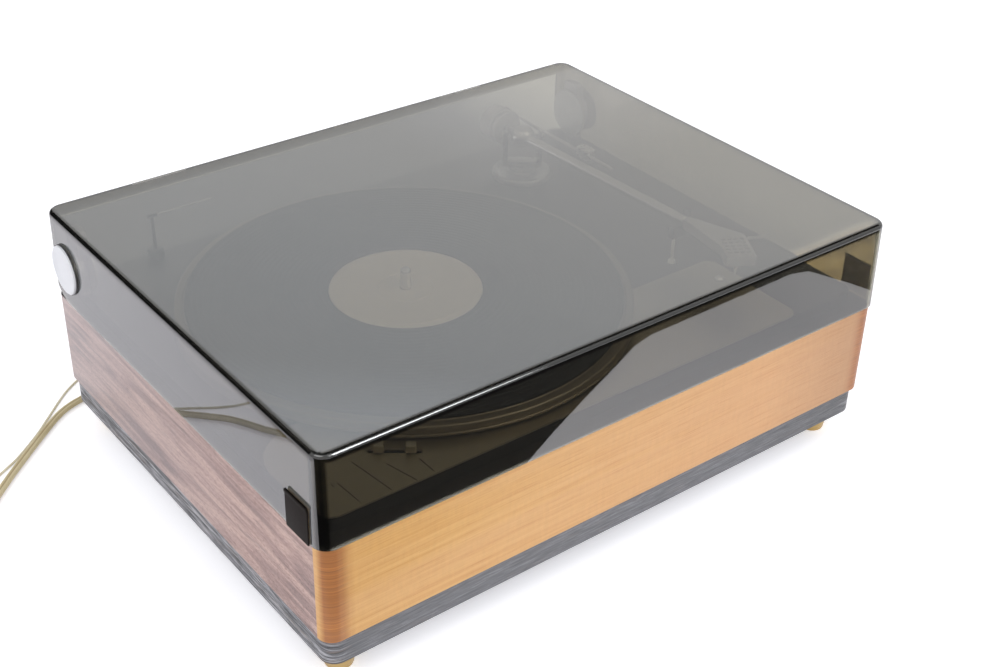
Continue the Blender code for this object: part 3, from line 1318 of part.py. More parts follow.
def build_lid(materials):
    """The lid with its hinge caps and grips, on the hinge axis."""
    axis = add_axis("lid_axis", (0.0, HINGE_Y, HINGE_Z))
    carry(axis, build_lid_shell(materials["smoked"]))
    base = HALF_WIDTH + SEAT_GAP
    cap = [
        (0.0, base),
        (CAP_RING_RADIUS, base),
        (CAP_RING_RADIUS, base + CAP_RING_THICKNESS),
        (CAP_RADIUS, base + CAP_RING_THICKNESS),
        (CAP_RADIUS, base + CAP_RING_THICKNESS + CAP_THICKNESS - CAP_EDGE),
        (CAP_RADIUS - CAP_EDGE, base + CAP_RING_THICKNESS + CAP_THICKNESS),
        (0.0, base + CAP_RING_THICKNESS + CAP_THICKNESS),
    ]
    for side, sign in (("left", -1), ("right", 1)):
        shape = turn_to(turned(cap, MEDIUM_SIDES), rotation_about("Y", sign * math.pi / 2))
        item = add_mesh("hinge_cap_" + side, shape, materials["cap"], SMOOTH_ANGLE)
        item.location = (0.0, HINGE_Y, HINGE_Z)
        carry(axis, item)
        bottom = LID_BOTTOM
        front = GRIP_FRONT_INSET - HALF_DEPTH
        foot = [(front, bottom), (front + GRIP_WIDTH, bottom), (front + GRIP_WIDTH, bottom + GRIP_HEIGHT),
                (front, bottom + GRIP_HEIGHT)]
        face = [(front + GRIP_BEVEL, bottom + GRIP_BEVEL), (front + GRIP_WIDTH - GRIP_BEVEL, bottom + GRIP_BEVEL),
                (front + GRIP_WIDTH - GRIP_BEVEL, bottom + GRIP_HEIGHT - 2 * GRIP_BEVEL),
                (front + GRIP_BEVEL, bottom + GRIP_HEIGHT - 2 * GRIP_BEVEL)]
        loops = [
            [(sign * base, y, z) for y, z in foot],
            [(sign * (base + GRIP_THICKNESS - GRIP_BEVEL), y, z) for y, z in foot],
            [(sign * (base + GRIP_THICKNESS), y, z) for y, z in face],
        ]
        grip = add_mesh("lid_grip_" + side, loft(loops), materials["grip"])
        carry(axis, grip)


def bracket_outline():
    """Outline of a hinge bracket in depth and height, with round top corners."""
    half = BRACKET_WIDTH / 2
    bottom = ON_DECK
    top = BRACKET_TOP
    low_y = HINGE_Y - half
    high_y = HINGE_Y + half
    points = [(low_y, bottom), (high_y, bottom)]
    points += arc((high_y - BRACKET_CORNER, top - BRACKET_CORNER), BRACKET_CORNER, 0.0, math.pi / 2, CORNER_STEPS)
    points += arc((low_y + BRACKET_CORNER, top - BRACKET_CORNER), BRACKET_CORNER, math.pi / 2, math.pi,
                  CORNER_STEPS)
    return points


def build_hinges(materials):
    """Brackets on the deck, their friction plates, and the pins that the lid turns on."""
    outer = BRACKET_INNER_X + BRACKET_THICKNESS
    boss_end = HALF_WIDTH - LID_WALL - LID_DRAFT - SEAT_GAP
    pin_start = BRACKET_INNER_X
    pin_end = HALF_WIDTH
    plate_outer = BRACKET_INNER_X - SEAT_GAP
    plate_inner = plate_outer - HINGE_PLATE_THICKNESS
    profile = bracket_outline()
    for side, sign in (("left", -1), ("right", 1)):
        loops = [[(sign * x, y, z) for y, z in profile] for x in (BRACKET_INNER_X, outer)]
        bracket = add_mesh("hinge_bracket_" + side, loft(loops), materials["plastic"])
        boss = turn_to(prism(circle(BOSS_RADIUS, SMALL_SIDES), outer - BRACKET_THICKNESS / 2, boss_end),
                       rotation_about("Y", sign * math.pi / 2))
        join(bracket, "hinge_boss_" + side, boss, (0.0, HINGE_Y, HINGE_Z))
        bore = turn_to(prism(circle(HINGE_PIN_RADIUS + SEAT_GAP, SMALL_SIDES), pin_start - OVERRUN,
                             boss_end + OVERRUN), rotation_about("Y", sign * math.pi / 2))
        cut(bracket, "hinge_bore_cutter_" + side, bore, (0.0, HINGE_Y, HINGE_Z))
        pin_shape = turn_to(prism(circle(HINGE_PIN_RADIUS, SMALL_SIDES), pin_start, pin_end),
                            rotation_about("Y", sign * math.pi / 2))
        pin = add_mesh("hinge_pin_" + side, pin_shape, materials["steel"])
        pin.location = (0.0, HINGE_Y, HINGE_Z)
        plate_shape = turn_to(prism(circle(HINGE_PLATE_RADIUS, MEDIUM_SIDES), plate_inner, plate_outer),
                              rotation_about("Y", sign * math.pi / 2))
        plate = add_mesh("hinge_plate_" + side, plate_shape, materials["black_metal"])
        plate.location = (0.0, HINGE_Y, HINGE_Z)


def from_corner(points):
    """Moves points measured from the lid's rear left corner to their places."""
    return [(point[0] - HALF_WIDTH, point[1] + HALF_DEPTH, *point[2:]) for point in points]


def smooth_route(points, spacing):
    """Reads evenly spaced points from a smooth curve through the points of a route."""
    route = [Vector(point) for point in points]
    padded = [2 * route[0] - route[1]] + route + [2 * route[-1] - route[-2]]
    dense = []
    steps = 24
    for index in range(1, len(padded) - 2):
        before, start, end, after = padded[index - 1:index + 3]
        for step in range(steps):
            t = step / steps
            point = 0.5 * (
                2 * start + (end - before) * t + (2 * before - 5 * start + 4 * end - after) * t ** 2
                + (3 * start - before - 3 * end + after) * t ** 3
            )
            dense.append(point)
    dense.append(route[-1].copy())
    dense = np.array(dense)
    lengths = np.concatenate([[0.0], np.cumsum(np.linalg.norm(np.diff(dense, axis=0), axis=1))])
    count = max(2, round(lengths[-1] / spacing) + 1)
    even = np.linspace(0.0, lengths[-1], count)
    return np.column_stack([np.interp(even, lengths, dense[:, axis]) for axis in range(3)])


def tube_curve(name, points, diameter, resolution, material):
    """Lays a round tube with filled ends along points."""
    curve = bpy.data.curves.new(name, "CURVE")
    curve.dimensions = "3D"
    curve.bevel_depth = diameter / 2
    curve.bevel_resolution = resolution
    curve.use_fill_caps = True
    curve.resolution_u = 1
    curve.render_resolution_u = 0
    spline = curve.splines.new("POLY")
    spline.points.add(len(points) - 1)
    for slot, point in zip(spline.points, points):
        slot.co = (*point, 1.0)
    curve.materials.append(material)
    item = bpy.data.objects.new(name, curve)
    bpy.context.scene.collection.objects.link(item)
    return item


def coil_path(start, heading, outer_radius, pitch, turns, diameter, lift, tail, end_height):
    """Points of a coil in two layers that winds clockwise, in and then out again, and leads off straight."""
    low = diameter / 2 + lift
    high = low + pitch
    direction = np.array([math.cos(heading), math.sin(heading)])
    right = np.array([direction[1], -direction[0]])
    centre = np.array(start) + outer_radius * right
    begin = math.atan2(*(np.array(start) - centre)[::-1])
    middle = math.pi * turns
    points = [(*(np.array(start) - direction * diameter), low)]
    count = round(turns * 24)
    for index in range(count + 1):
        swept = 2 * math.pi * turns * index / count
        radius = outer_radius - pitch * (middle - abs(swept - middle)) / (2 * math.pi)
        climb = min(max((swept - middle + math.pi / 2) / math.pi, 0.0), 1.0)
        angle = begin - swept
        points.append((centre[0] + radius * math.cos(angle), centre[1] + radius * math.sin(angle),
                       low + (high - low) * climb))
    angle = begin - 2 * math.pi * turns
    leaving = np.array([math.sin(angle), -math.cos(angle)])
    last = np.array(points[-1])
    steps = 6
    for index in range(1, steps + 1):
        share = index / steps
        ease = share * share * (3 - 2 * share)
        spot = last[:2] + leaving * tail * share
        points.append((*spot, high + (end_height - high) * ease))
    spot = last[:2] + leaving * (tail + diameter)
    points.append((*spot, end_height))
    return np.array(points), centre, leaving


def path_length(points):
    """Length along points."""
    return float(np.linalg.norm(np.diff(points, axis=0), axis=1).sum())


def least_gap(points, diameter, pitch):
    """Least gap between the turns of a wound tube, measured on its points."""
    along = np.concatenate([[0.0], np.cumsum(np.linalg.norm(np.diff(points, axis=0), axis=1))])
    smallest = 1.0
    for index in range(len(points)):
        far = np.abs(along - along[index]) > 4 * pitch
        if far.any():
            gap = np.linalg.norm(points[far] - points[index], axis=1).min()
            smallest = min(smallest, float(gap))
    return smallest - diameter


def build_tie(name, centre, angle, outer_radius, pitch, turns, diameter, lift, sizes, material):
    """Band round the bundle of a coil's turns."""
    width, thickness, clearance = sizes
    inner_radius = outer_radius - pitch * turns / 2
    low = lift - clearance
    high = lift + diameter + pitch + clearance
    near = inner_radius - diameter / 2 - clearance
    far = outer_radius + diameter / 2 + clearance
    inner = [(near, low), (far, low), (far, high), (near, high)]
    outer = [(near - thickness, low - thickness), (far + thickness, low - thickness),
             (far + thickness, high + thickness), (near - thickness, high + thickness)]
    loops = [
        [(x, -width / 2, z) for x, z in outer], [(x, width / 2, z) for x, z in outer],
        [(x, width / 2, z) for x, z in inner], [(x, -width / 2, z) for x, z in inner],
    ]
    tie = add_mesh(name, loft(loops, closed=True), material)
    tie.location = (centre[0], centre[1], 0.0)
    tie.rotation_euler = (0.0, 0.0, angle)


def build_mains_lead(materials):
    """Strain relief, free lead, coil, tie and two-pin plug."""
    exit_z = SKIRT_BOTTOM + CORD_EXIT_RISE
    bore = CORD_DIAMETER / 2
    relief = [
        (0.0, SEAT_GAP), (RELIEF_FLANGE_RADIUS, SEAT_GAP), (RELIEF_FLANGE_RADIUS, SEAT_GAP + RELIEF_FLANGE),
        (RELIEF_BASE_RADIUS, SEAT_GAP + RELIEF_FLANGE), (RELIEF_TIP_RADIUS, RELIEF_LENGTH), (0.0, RELIEF_LENGTH),
    ]
    item = add_mesh("strain_relief", turn_to(turned(relief, SMALL_SIDES), rotation_about("X", -math.pi / 2)),
                    materials["cord"], SMOOTH_ANGLE)
    item.location = (CORD_EXIT_X, SKIRT_REAR, exit_z)
    start_y = SKIRT_REAR + RELIEF_LENGTH + SEAT_GAP
    heading = math.radians(CORD_COIL_HEADING_DEGREES)
    low = bore + COIL_LIFT
    lead = CORD_DIAMETER + SEAT_GAP
    coil_start, = from_corner([CORD_COIL_START])
    end = (coil_start[0] - lead * math.cos(heading), coil_start[1] - lead * math.sin(heading), low)
    before = (end[0] - lead * math.cos(heading), end[1] - lead * math.sin(heading), low)
    route = [(CORD_EXIT_X, start_y, exit_z), (CORD_EXIT_X, start_y + CORD_DIAMETER, exit_z)]
    route += from_corner(CORD_ROUTE) + [before, end]
    free = smooth_route(route, 2.4 * CORD_DIAMETER)
    tube_curve("mains_cord", free, CORD_DIAMETER, 2, materials["cord"])
    plug_z = PLUG_HEIGHT / 2 + SEAT_GAP
    path, centre, leaving = coil_path(coil_start, heading, COIL_RADIUS, COIL_PITCH, COIL_TURNS,
                                      CORD_DIAMETER, COIL_LIFT, COIL_TAIL, plug_z)
    tube_curve("mains_coil", path, CORD_DIAMETER, 1, materials["cord"])
    build_tie("mains_tie", centre, heading + math.pi, COIL_RADIUS, COIL_PITCH, COIL_TURNS, CORD_DIAMETER,
              COIL_LIFT, (TIE_WIDTH, TIE_THICKNESS, TIE_CLEARANCE), materials["grip"])
    build_plug(path[-1], math.atan2(leaving[1], leaving[0]), materials)
    print("mains lead length", round(path_length(free) + path_length(path), 3),
          "least gap in its coil", round(least_gap(path, CORD_DIAMETER, COIL_PITCH), 5))


def build_plug(end, heading, materials):
    """Two-pin plug on the end of the mains lead, lying on the table."""
    neck = circle(PLUG_NECK_RADIUS, 4 * (CORNER_STEPS + 1), start=math.pi / 8)
    body = centred_rectangle(PLUG_WIDTH, PLUG_HEIGHT, PLUG_CORNER_RADIUS)
    small = centred_rectangle(PLUG_WIDTH / 2, PLUG_HEIGHT * 3 / 4, PLUG_CORNER_RADIUS)
    start = SEAT_GAP
    shoulder = start + PLUG_NECK_LENGTH
    face = shoulder + PLUG_LENGTH
    turn = rotation_about("Z", math.pi / 2) @ rotation_about("X", math.pi / 2)
    loops = [level(neck, start), level(neck, shoulder - PLUG_CORNER_RADIUS), level(small, shoulder),
             level(body, shoulder + PLUG_LENGTH / 3), level(body, face)]
    plug = add_mesh("mains_plug", turn_to(loft(loops), turn), materials["cord"])
    for side, sign in (("a", -1), ("b", 1)):
        pin = prism(circle(PLUG_PIN_RADIUS, FINE_SIDES, centre=(sign * PLUG_PIN_SPACING / 2, 0.0)),
                    face - PLUG_PIN_RADIUS, face + PLUG_PIN_LENGTH)
        join(plug, "plug_pin_" + side, turn_to(pin, turn))
    plug.location = (float(end[0]), float(end[1]), float(end[2]))
    plug.rotation_euler = (0.0, 0.0, heading)


def build_earth_wire(materials):
    """Grommet, free wire, coil, tie and spade lug."""
    exit_z = SKIRT_BOTTOM + WIRE_EXIT_RISE
    grommet = [
        (0.0, SEAT_GAP), (GROMMET_RADIUS, SEAT_GAP), (GROMMET_RADIUS, GROMMET_LENGTH / 2),
        (WIRE_DIAMETER, GROMMET_LENGTH), (0.0, GROMMET_LENGTH),
    ]
    item = add_mesh("earth_grommet", turn_to(turned(grommet, FINE_SIDES), rotation_about("X", -math.pi / 2)),
                    materials["grip"], SMOOTH_ANGLE)
    item.location = (WIRE_EXIT_X, SKIRT_REAR, exit_z)
    start_y = SKIRT_REAR + GROMMET_LENGTH + SEAT_GAP
    heading = math.radians(WIRE_COIL_HEADING_DEGREES)
    low = WIRE_DIAMETER / 2 + WIRE_COIL_LIFT
    lead = WIRE_DIAMETER + SEAT_GAP
    coil_start, = from_corner([WIRE_COIL_START])
    end = (coil_start[0] - lead * math.cos(heading), coil_start[1] - lead * math.sin(heading), low)
    before = (end[0] - lead * math.cos(heading), end[1] - lead * math.sin(heading), low)
    route = [(WIRE_EXIT_X, start_y, exit_z), (WIRE_EXIT_X, start_y + 2 * WIRE_DIAMETER, exit_z)]
    route += from_corner(WIRE_ROUTE) + [before, end]
    free = smooth_route(route, 3 * WIRE_DIAMETER)
    tube_curve("earth_wire", free, WIRE_DIAMETER, 2, materials["wire"])
    lug_z = LUG_BARREL_RADIUS + SEAT_GAP
    path, centre, leaving = coil_path(coil_start, heading, WIRE_COIL_RADIUS, WIRE_COIL_PITCH,
                                      WIRE_COIL_TURNS, WIRE_DIAMETER, WIRE_COIL_LIFT, WIRE_COIL_TAIL, lug_z)
    tube_curve("earth_coil", path, WIRE_DIAMETER, 1, materials["wire"])
    build_tie("earth_tie", centre, heading + math.pi, WIRE_COIL_RADIUS, WIRE_COIL_PITCH, WIRE_COIL_TURNS,
              WIRE_DIAMETER, WIRE_COIL_LIFT, (WIRE_TIE_WIDTH, WIRE_TIE_THICKNESS, WIRE_TIE_CLEARANCE),
              materials["grip"])
    build_lug(path[-1], math.atan2(leaving[1], leaving[0]), materials)
    print("earth wire length", round(path_length(free) + path_length(path), 3),
          "least gap in its coil", round(least_gap(path, WIRE_DIAMETER, WIRE_COIL_PITCH), 5))


def build_lug(end, heading, materials):
    """Spade lug on the end of the earth wire."""
    start = SEAT_GAP + LUG_BARREL_LENGTH
    half = LUG_WIDTH / 2
    slot = LUG_SLOT_WIDTH / 2
    tip = start + LUG_LENGTH
    root = tip - LUG_SLOT_LENGTH
    back = start - LUG_BARREL_RADIUS
    outline = [
        (back, -LUG_BARREL_RADIUS), (start, -LUG_BARREL_RADIUS), (start + LUG_BARREL_RADIUS, -half),
        (tip, -half), (tip, -slot), (root, -slot), (root, slot), (tip, slot), (tip, half),
        (start + LUG_BARREL_RADIUS, half), (start, LUG_BARREL_RADIUS), (back, LUG_BARREL_RADIUS),
    ]
    lug = add_mesh("earth_lug", prism(outline, -LUG_THICKNESS / 2, LUG_THICKNESS / 2), materials["steel"])
    barrel = turn_to(prism(circle(LUG_BARREL_RADIUS, FINE_SIDES), SEAT_GAP, start),
                     rotation_about("Y", math.pi / 2))
    join(lug, "lug_barrel", barrel)
    lug.location = (float(end[0]), float(end[1]), float(end[2]))
    lug.rotation_euler = (0.0, 0.0, heading)


def make_materials():
    """One material for each kind of surface."""
    return {
        "wood": make_material("orange_wood", (0.52, 0.26, 0.10), 0.45, 0.0),
        "skirt": make_material("black_stained_wood", (0.035, 0.035, 0.042), 0.55, 0.0),
        "board": make_material("hardboard", (0.16, 0.10, 0.06), 0.8, 0.0),
        "brass": make_material("brass", (0.55, 0.42, 0.18), 0.32, 1.0),
        "deck": make_material("black_deck", (0.012, 0.010, 0.010), 0.35, 0.0),
        "strip": make_material("champagne_strip", (0.58, 0.53, 0.44), 0.38, 0.85),
        "aluminium": make_material("turned_aluminium", (0.72, 0.71, 0.68), 0.3, 1.0),
        "mat": make_material("rubber_mat", (0.015, 0.015, 0.016), 0.8, 0.0),
        "steel": make_material("bright_steel", (0.62, 0.62, 0.62), 0.25, 1.0),
        "bright": make_material("chrome_tube", (0.8, 0.8, 0.8), 0.15, 1.0),
        "shell_metal": make_material("headshell_metal", (0.55, 0.55, 0.56), 0.35, 1.0),
        "black_metal": make_material("black_metal", (0.02, 0.02, 0.022), 0.3, 0.4),
        "plastic": make_material("black_plastic", (0.02, 0.02, 0.02), 0.45, 0.0),
        "belt": make_material("belt_rubber", (0.02, 0.02, 0.02), 0.9, 0.0),
        "smoked": make_material("smoked_acrylic", (0.10, 0.09, 0.08), 0.05, 0.0, 0.45),
        "cap": make_material("satin_cap", (0.85, 0.86, 0.88), 0.3, 0.3),
        "grip": make_material("soft_black", (0.025, 0.022, 0.022), 0.6, 0.0),
        "cord": make_material("beige_lead", (0.55, 0.47, 0.33), 0.5, 0.0),
        "wire": make_material("white_wire", (0.80, 0.78, 0.72), 0.5, 0.0),
    }


def build_turntable():
    """Builds every piece of the turntable."""
    clear_scene()
    materials = make_materials()
    build_feet(materials["brass"])
    build_skirt(materials["skirt"])
    build_bottom_board(materials["board"])
    build_plinth(materials["wood"])
    build_deck(materials["deck"])
    build_well(materials["black_metal"])
    build_bearing(materials["steel"])
    build_platter_group(materials)
    build_motor(materials)
    build_belt(materials["belt"])
    build_strip(materials["strip"])
    build_strip_screw(materials["steel"])
    build_levers(materials["strip"])
    build_arm_base(materials["black_metal"])
    build_yoke(materials)
    build_tonearm(materials)
    build_arm_rest(materials)
    build_side_post(materials)
    build_lid(materials)
    build_hinges(materials)
    build_mains_lead(materials)
    build_earth_wire(materials)


build_turntable()
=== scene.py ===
"""Looks of a turntable with a wooden plinth, a smoked hinged lid and a belt drive.

Lengths are in metres. X points right, Y points to the rear and Z up, with the table at zero.
"""

import math

import bmesh
import bpy
import numpy as np
from mathutils import Matrix, Vector


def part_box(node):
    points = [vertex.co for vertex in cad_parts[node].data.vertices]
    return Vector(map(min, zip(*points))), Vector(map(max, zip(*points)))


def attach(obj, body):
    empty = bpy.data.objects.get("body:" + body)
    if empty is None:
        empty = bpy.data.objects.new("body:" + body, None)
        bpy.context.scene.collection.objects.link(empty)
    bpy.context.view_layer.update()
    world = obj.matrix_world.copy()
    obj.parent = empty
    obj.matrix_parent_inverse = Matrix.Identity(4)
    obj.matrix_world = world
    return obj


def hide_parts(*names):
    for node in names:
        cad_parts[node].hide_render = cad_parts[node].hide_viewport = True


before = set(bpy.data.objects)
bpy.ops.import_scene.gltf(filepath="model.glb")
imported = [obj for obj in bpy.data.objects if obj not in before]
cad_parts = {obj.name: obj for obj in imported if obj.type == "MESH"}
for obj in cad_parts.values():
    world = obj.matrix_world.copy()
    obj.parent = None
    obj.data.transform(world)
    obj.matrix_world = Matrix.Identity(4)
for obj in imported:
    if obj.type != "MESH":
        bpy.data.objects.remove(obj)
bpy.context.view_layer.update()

# Edges of the solids that the new pieces are fitted to
LID_LOW, LID_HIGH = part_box("lid_shell")
WOOD_LOW, WOOD_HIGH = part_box("plinth_frame")
SKIRT_LOW, SKIRT_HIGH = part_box("base_skirt")
SEAT_GAP = 0.0003
OVERRUN = 0.0040
FAR_OUT = 1.0

# Camera, with its right and forward directions
CAMERA_PLACE = Vector((-0.5279, -0.7046, 0.6343))
CAMERA_RIGHT = Vector((0.7926, -0.6094, 0.0216))
CAMERA_FORWARD = Vector((0.5237, 0.6622, -0.5359))
CAMERA_LENS = 54.81
CAMERA_SENSOR = 36.0
CAMERA_SIGHT = (0.05, 50.0)

# Lid
LID_WALL = 0.0030
LID_CORNER_RADIUS = 0.0100
LID_EDGE_RADIUS = 0.0030
LID_DRAFT = 0.0008
LID_REAR_LIP = 0.0110
LID_CORNER_RETURN = 0.0080
LID_DARK_CORNER = 0.0016
LID_THIN_DARK_EDGE = 0.0020
HINGE_RISE = 0.0278
HINGE_BORE_RADIUS = 0.0043

# Plinth
WOOD_THICKNESS = 0.0160
WOOD_CORNER_RADIUS = 0.0100
WOOD_EDGE_RADIUS = 0.0006
SKIRT_RAIL = 0.0360
SKIRT_CORNER_RADIUS = 0.0100
SKIRT_EDGE_RADIUS = 0.0005
BOARD_THICKNESS = 0.0030
BOARD_REBATE = 0.0080

# Platter group
PLATTER_RIM_WIDTH = 0.0120
PLATTER_WEB = 0.0040
PLATTER_BORE = 0.0039
PLATTER_STEP = 0.0004
PLATTER_SIDES = 192
LABEL_RADIUS = 0.0500
LABEL_GROOVES = (0.0455, 0.0180)
MAT_RIBS = 24
MAT_MARGIN = 0.0040
MAT_RIB_WIDTH = 0.0010
MAT_RIB_DEPTH = 0.0002
SPINDLE_RADIUS = 0.00355
SPINDLE_DOME = 0.0030
SPINDLE_DOME_TURNS = (0, 15, 30, 45, 60, 75, 86)
SHAFT_RADIUS = 0.0050
SHAFT_CHAMFER = 0.0015

# Feet: their collars are shares of a foot's width and height, from the tip up
FOOT_TIP_SHARE = 0.79
FOOT_TIP_HEIGHT = 0.14
FOOT_STEP_HEIGHT = 0.16
FOOT_TIP_ROUND = 0.0016
FOOT_TIP_EDGE = 0.0004
FOOT_STEP = 0.0002
FOOT_TOP_EDGE = 0.0006
FOOT_COLLARS = ((0.93, 0.70), (0.93, 0.74), (0.90, 0.76), (0.90, 0.80), (0.97, 0.82), (1.0, 0.85),
                (1.0, 0.96))

# Hinge caps and friction plates
CAP_RING_WIDTH = 0.00075
CAP_RING_HEIGHT = 0.0006
CAP_RING_EDGE = 0.0002
CAP_RING_INSIDE = 0.01670
CAP_SEAM = 0.0001
CAP_ROUND = 0.0005
CAP_RIM_WIDTH = 0.0030
CAP_DISH_DEPTH = 0.00015
PLATE_EDGE = 0.0003
PLATE_HOLE_RADIUS = 0.0053
PLATE_PIN_RADIUS = 0.0020
SCREW_CIRCLE_RADIUS = 0.0130
SCREW_RADIUS = 0.0021
SCREW_CROWN_RADIUS = 0.0008
SCREW_SINK = 0.0005

# Grips
GRIP_LEDGE_REACH = 0.0005
GRIP_LEDGE_HEIGHT = 0.0020
GRIP_LEDGE_EDGE = 0.0003
GRIP_PAD_EDGE = 0.0002
GRIP_TAPE = 0.00005

# Tonearm, whose pivot is at ARM_PIVOT and which lies ARM_TURN to the right of straight forward
ARM_PIVOT = Vector((0.1300, 0.1060, 0.1455))
ARM_TURN = math.radians(2.27)
ARM_FORWARD = Vector((math.sin(ARM_TURN), -math.cos(ARM_TURN), 0.0))
STUB_RADIUS = 0.0030
STUB_REACH = 0.0410
STUB_EDGE = 0.0006
HUB_RADIUS = 0.0090
HUB_STEPS = 16
TUBE_RADIUS = 0.0035
TUBE_REACH = 0.1700
TUBE_EDGE = 0.0004

# Counterweight: its grip grooves are placed from its rear, its broad ring groove from its front
WEIGHT_RADIUS = 0.0130
WEIGHT_START = 0.0175
WEIGHT_LENGTH = 0.0190
WEIGHT_ROUND = 0.0020
WEIGHT_EDGE = 0.0008
WEIGHT_GROOVES = 5
WEIGHT_GROOVE_START = 0.0030
WEIGHT_GROOVE_PITCH = 0.0018
WEIGHT_GROOVE_SIDE = 0.0003
WEIGHT_GROOVE_DEPTH = 0.0004
RING_GROOVE_START = 0.0050
RING_GROOVE_END = 0.0028
RING_GROOVE_SIDE = 0.0004
RING_GROOVE_DEPTH = 0.0010

# Round base of the tonearm: its edge is given as steps inward and heights over the deck
BASE_BORE = 0.0063
BASE_SHANK_RADIUS = 0.0090
BASE_SHANK_EDGE = 0.0005
BASE_EDGE = ((0.0, 0.0), (0.0, 0.0030), (0.0004, 0.0038), (0.0012, 0.0045), (0.0040, 0.0045),
             (0.0045, 0.0042))
BASE_DISH = 0.0042
BASE_STEM_RADIUS = 0.0100
BASE_STEM_FOOT = 0.0010
BASE_STEM_EDGE = 0.0006

# Lines engraved in the control strip, each from one place on it to another
STRIP_LINES = (((-0.1864, -0.1304), (-0.1855, -0.1506)), ((-0.1697, -0.1190), (-0.1657, -0.1530)),
               ((-0.1547, -0.1320), (-0.1495, -0.1538)), ((-0.1372, -0.1390), (-0.1372, -0.1528)))
STRIP_LINE_WIDTH = 0.0005
STRIP_LINE_THICKNESS = 0.0001
STRIP_LINE_LIFT = 0.00004

# Sleeve of the mains lead
SLEEVE_FLANGE = ((0.0071, 0.0), (0.0075, 0.0003), (0.0075, 0.0010), (0.0070, 0.0013), (0.0056, 0.0014))
SLEEVE_RIBS = 7
SLEEVE_RIB_START = 0.0024
SLEEVE_RIB_END = 0.0010
SLEEVE_RIB_WIDTH = 0.0015
SLEEVE_RIB_SIDE = 0.0003
SLEEVE_GROOVE_WIDTH = 0.0005
SLEEVE_GROOVE_DEPTH = 0.0009
SLEEVE_RADIUS = 0.0056
SLEEVE_TIP_RADIUS = 0.0042
SLEEVE_TIP_ROUND = 0.0006
SLEEVE_TIP_EDGE = 0.0008

# Mains lead and earth wire
CORD_WIDTH = 0.0056
CORD_THICKNESS = 0.0042
CORD_GROOVE = 0.28
CORD_GROOVE_SPREAD = 0.12
CORD_SIDES = 24
CORD_SPACING = 0.0040
CORD_START = (-0.1100, 0.1882, 0.0270)
ROUTE_STEPS = 24
COIL_STEPS = 48
TAIL_STEPS = 12
COIL_PITCH = 0.0062
COIL_TURNS = 6.375
COIL_RADIUS = 0.0450
COIL_LIFT = 0.0020
COIL_TAIL = 0.0550
PLUG_HEIGHT = 0.0140
WIRE_DIAMETER = 0.0018
WIRE_SIDES = 12
WIRE_SPACING = 0.0030
WIRE_START = (-0.0850, 0.1692, 0.0270)
WIRE_COIL_PITCH = 0.0024
WIRE_COIL_TURNS = 9.25
WIRE_COIL_RADIUS = 0.0175
WIRE_COIL_LIFT = 0.0012
WIRE_COIL_TAIL = 0.0180
LUG_BARREL_RADIUS = 0.0016
CORD_ROUTE = [
    (-0.1102, 0.2040, 0.0262), (-0.1128, 0.2130, 0.0240), (-0.1190, 0.2215, 0.0204),
    (-0.1282, 0.2268, 0.0160), (-0.1390, 0.2278, 0.0118), (-0.1500, 0.2235, 0.0082),
    (-0.1600, 0.2155, 0.0054), (-0.1695, 0.2060, 0.0036), (-0.1790, 0.1965, 0.0031),
    (-0.1890, 0.1885, 0.0030), (-0.1985, 0.1838, 0.0030), (-0.2075, 0.1813, 0.0030),
    (-0.2168, 0.1786, 0.0030), (-0.2260, 0.1744, 0.0030), (-0.2357, 0.1676, 0.0030),
    (-0.2478, 0.1575, 0.0030), (-0.2590, 0.1478, 0.0030), (-0.2716, 0.1366, 0.0030),
    (-0.2839, 0.1255, 0.0030), (-0.2966, 0.1132, 0.0030), (-0.3090, 0.1007, 0.0030),
    (-0.3168, 0.0880, 0.0030), (-0.3240, 0.0745, 0.0031), (-0.3320, 0.0620, 0.0036),
    (-0.3420, 0.0510, 0.0045),
]
WIRE_ROUTE = [
    (-0.0851, 0.1800, 0.0268), (-0.0858, 0.1935, 0.0255), (-0.0882, 0.2065, 0.0226),
    (-0.0928, 0.2190, 0.0182), (-0.1000, 0.2300, 0.0130), (-0.1095, 0.2385, 0.0078),
    (-0.1205, 0.2435, 0.0036), (-0.1325, 0.2448, 0.0014), (-0.1450, 0.2425, 0.0010),
    (-0.1580, 0.2370, 0.0010), (-0.1710, 0.2290, 0.0010), (-0.1840, 0.2195, 0.0010),
    (-0.1950, 0.2110, 0.0010), (-0.2060, 0.2035, 0.0010), (-0.2130, 0.1983, 0.0010),
    (-0.2195, 0.1923, 0.0010), (-0.2294, 0.1825, 0.0010), (-0.2401, 0.1718, 0.0010),
    (-0.2526, 0.1597, 0.0010), (-0.2720, 0.1438, 0.0010), (-0.2860, 0.1350, 0.0010),
    (-0.2995, 0.1270, 0.0010), (-0.3125, 0.1195, 0.0010), (-0.3260, 0.1145, 0.0010),
    (-0.3400, 0.1140, 0.0010), (-0.3530, 0.1185, 0.0011), (-0.3630, 0.1280, 0.0016),
]
CORD_COIL_START = (-0.3545, 0.0400)
CORD_COIL_HEADING = math.radians(-139.0)
WIRE_COIL_START = (-0.3704, 0.1376)
WIRE_COIL_HEADING = math.radians(130.0)

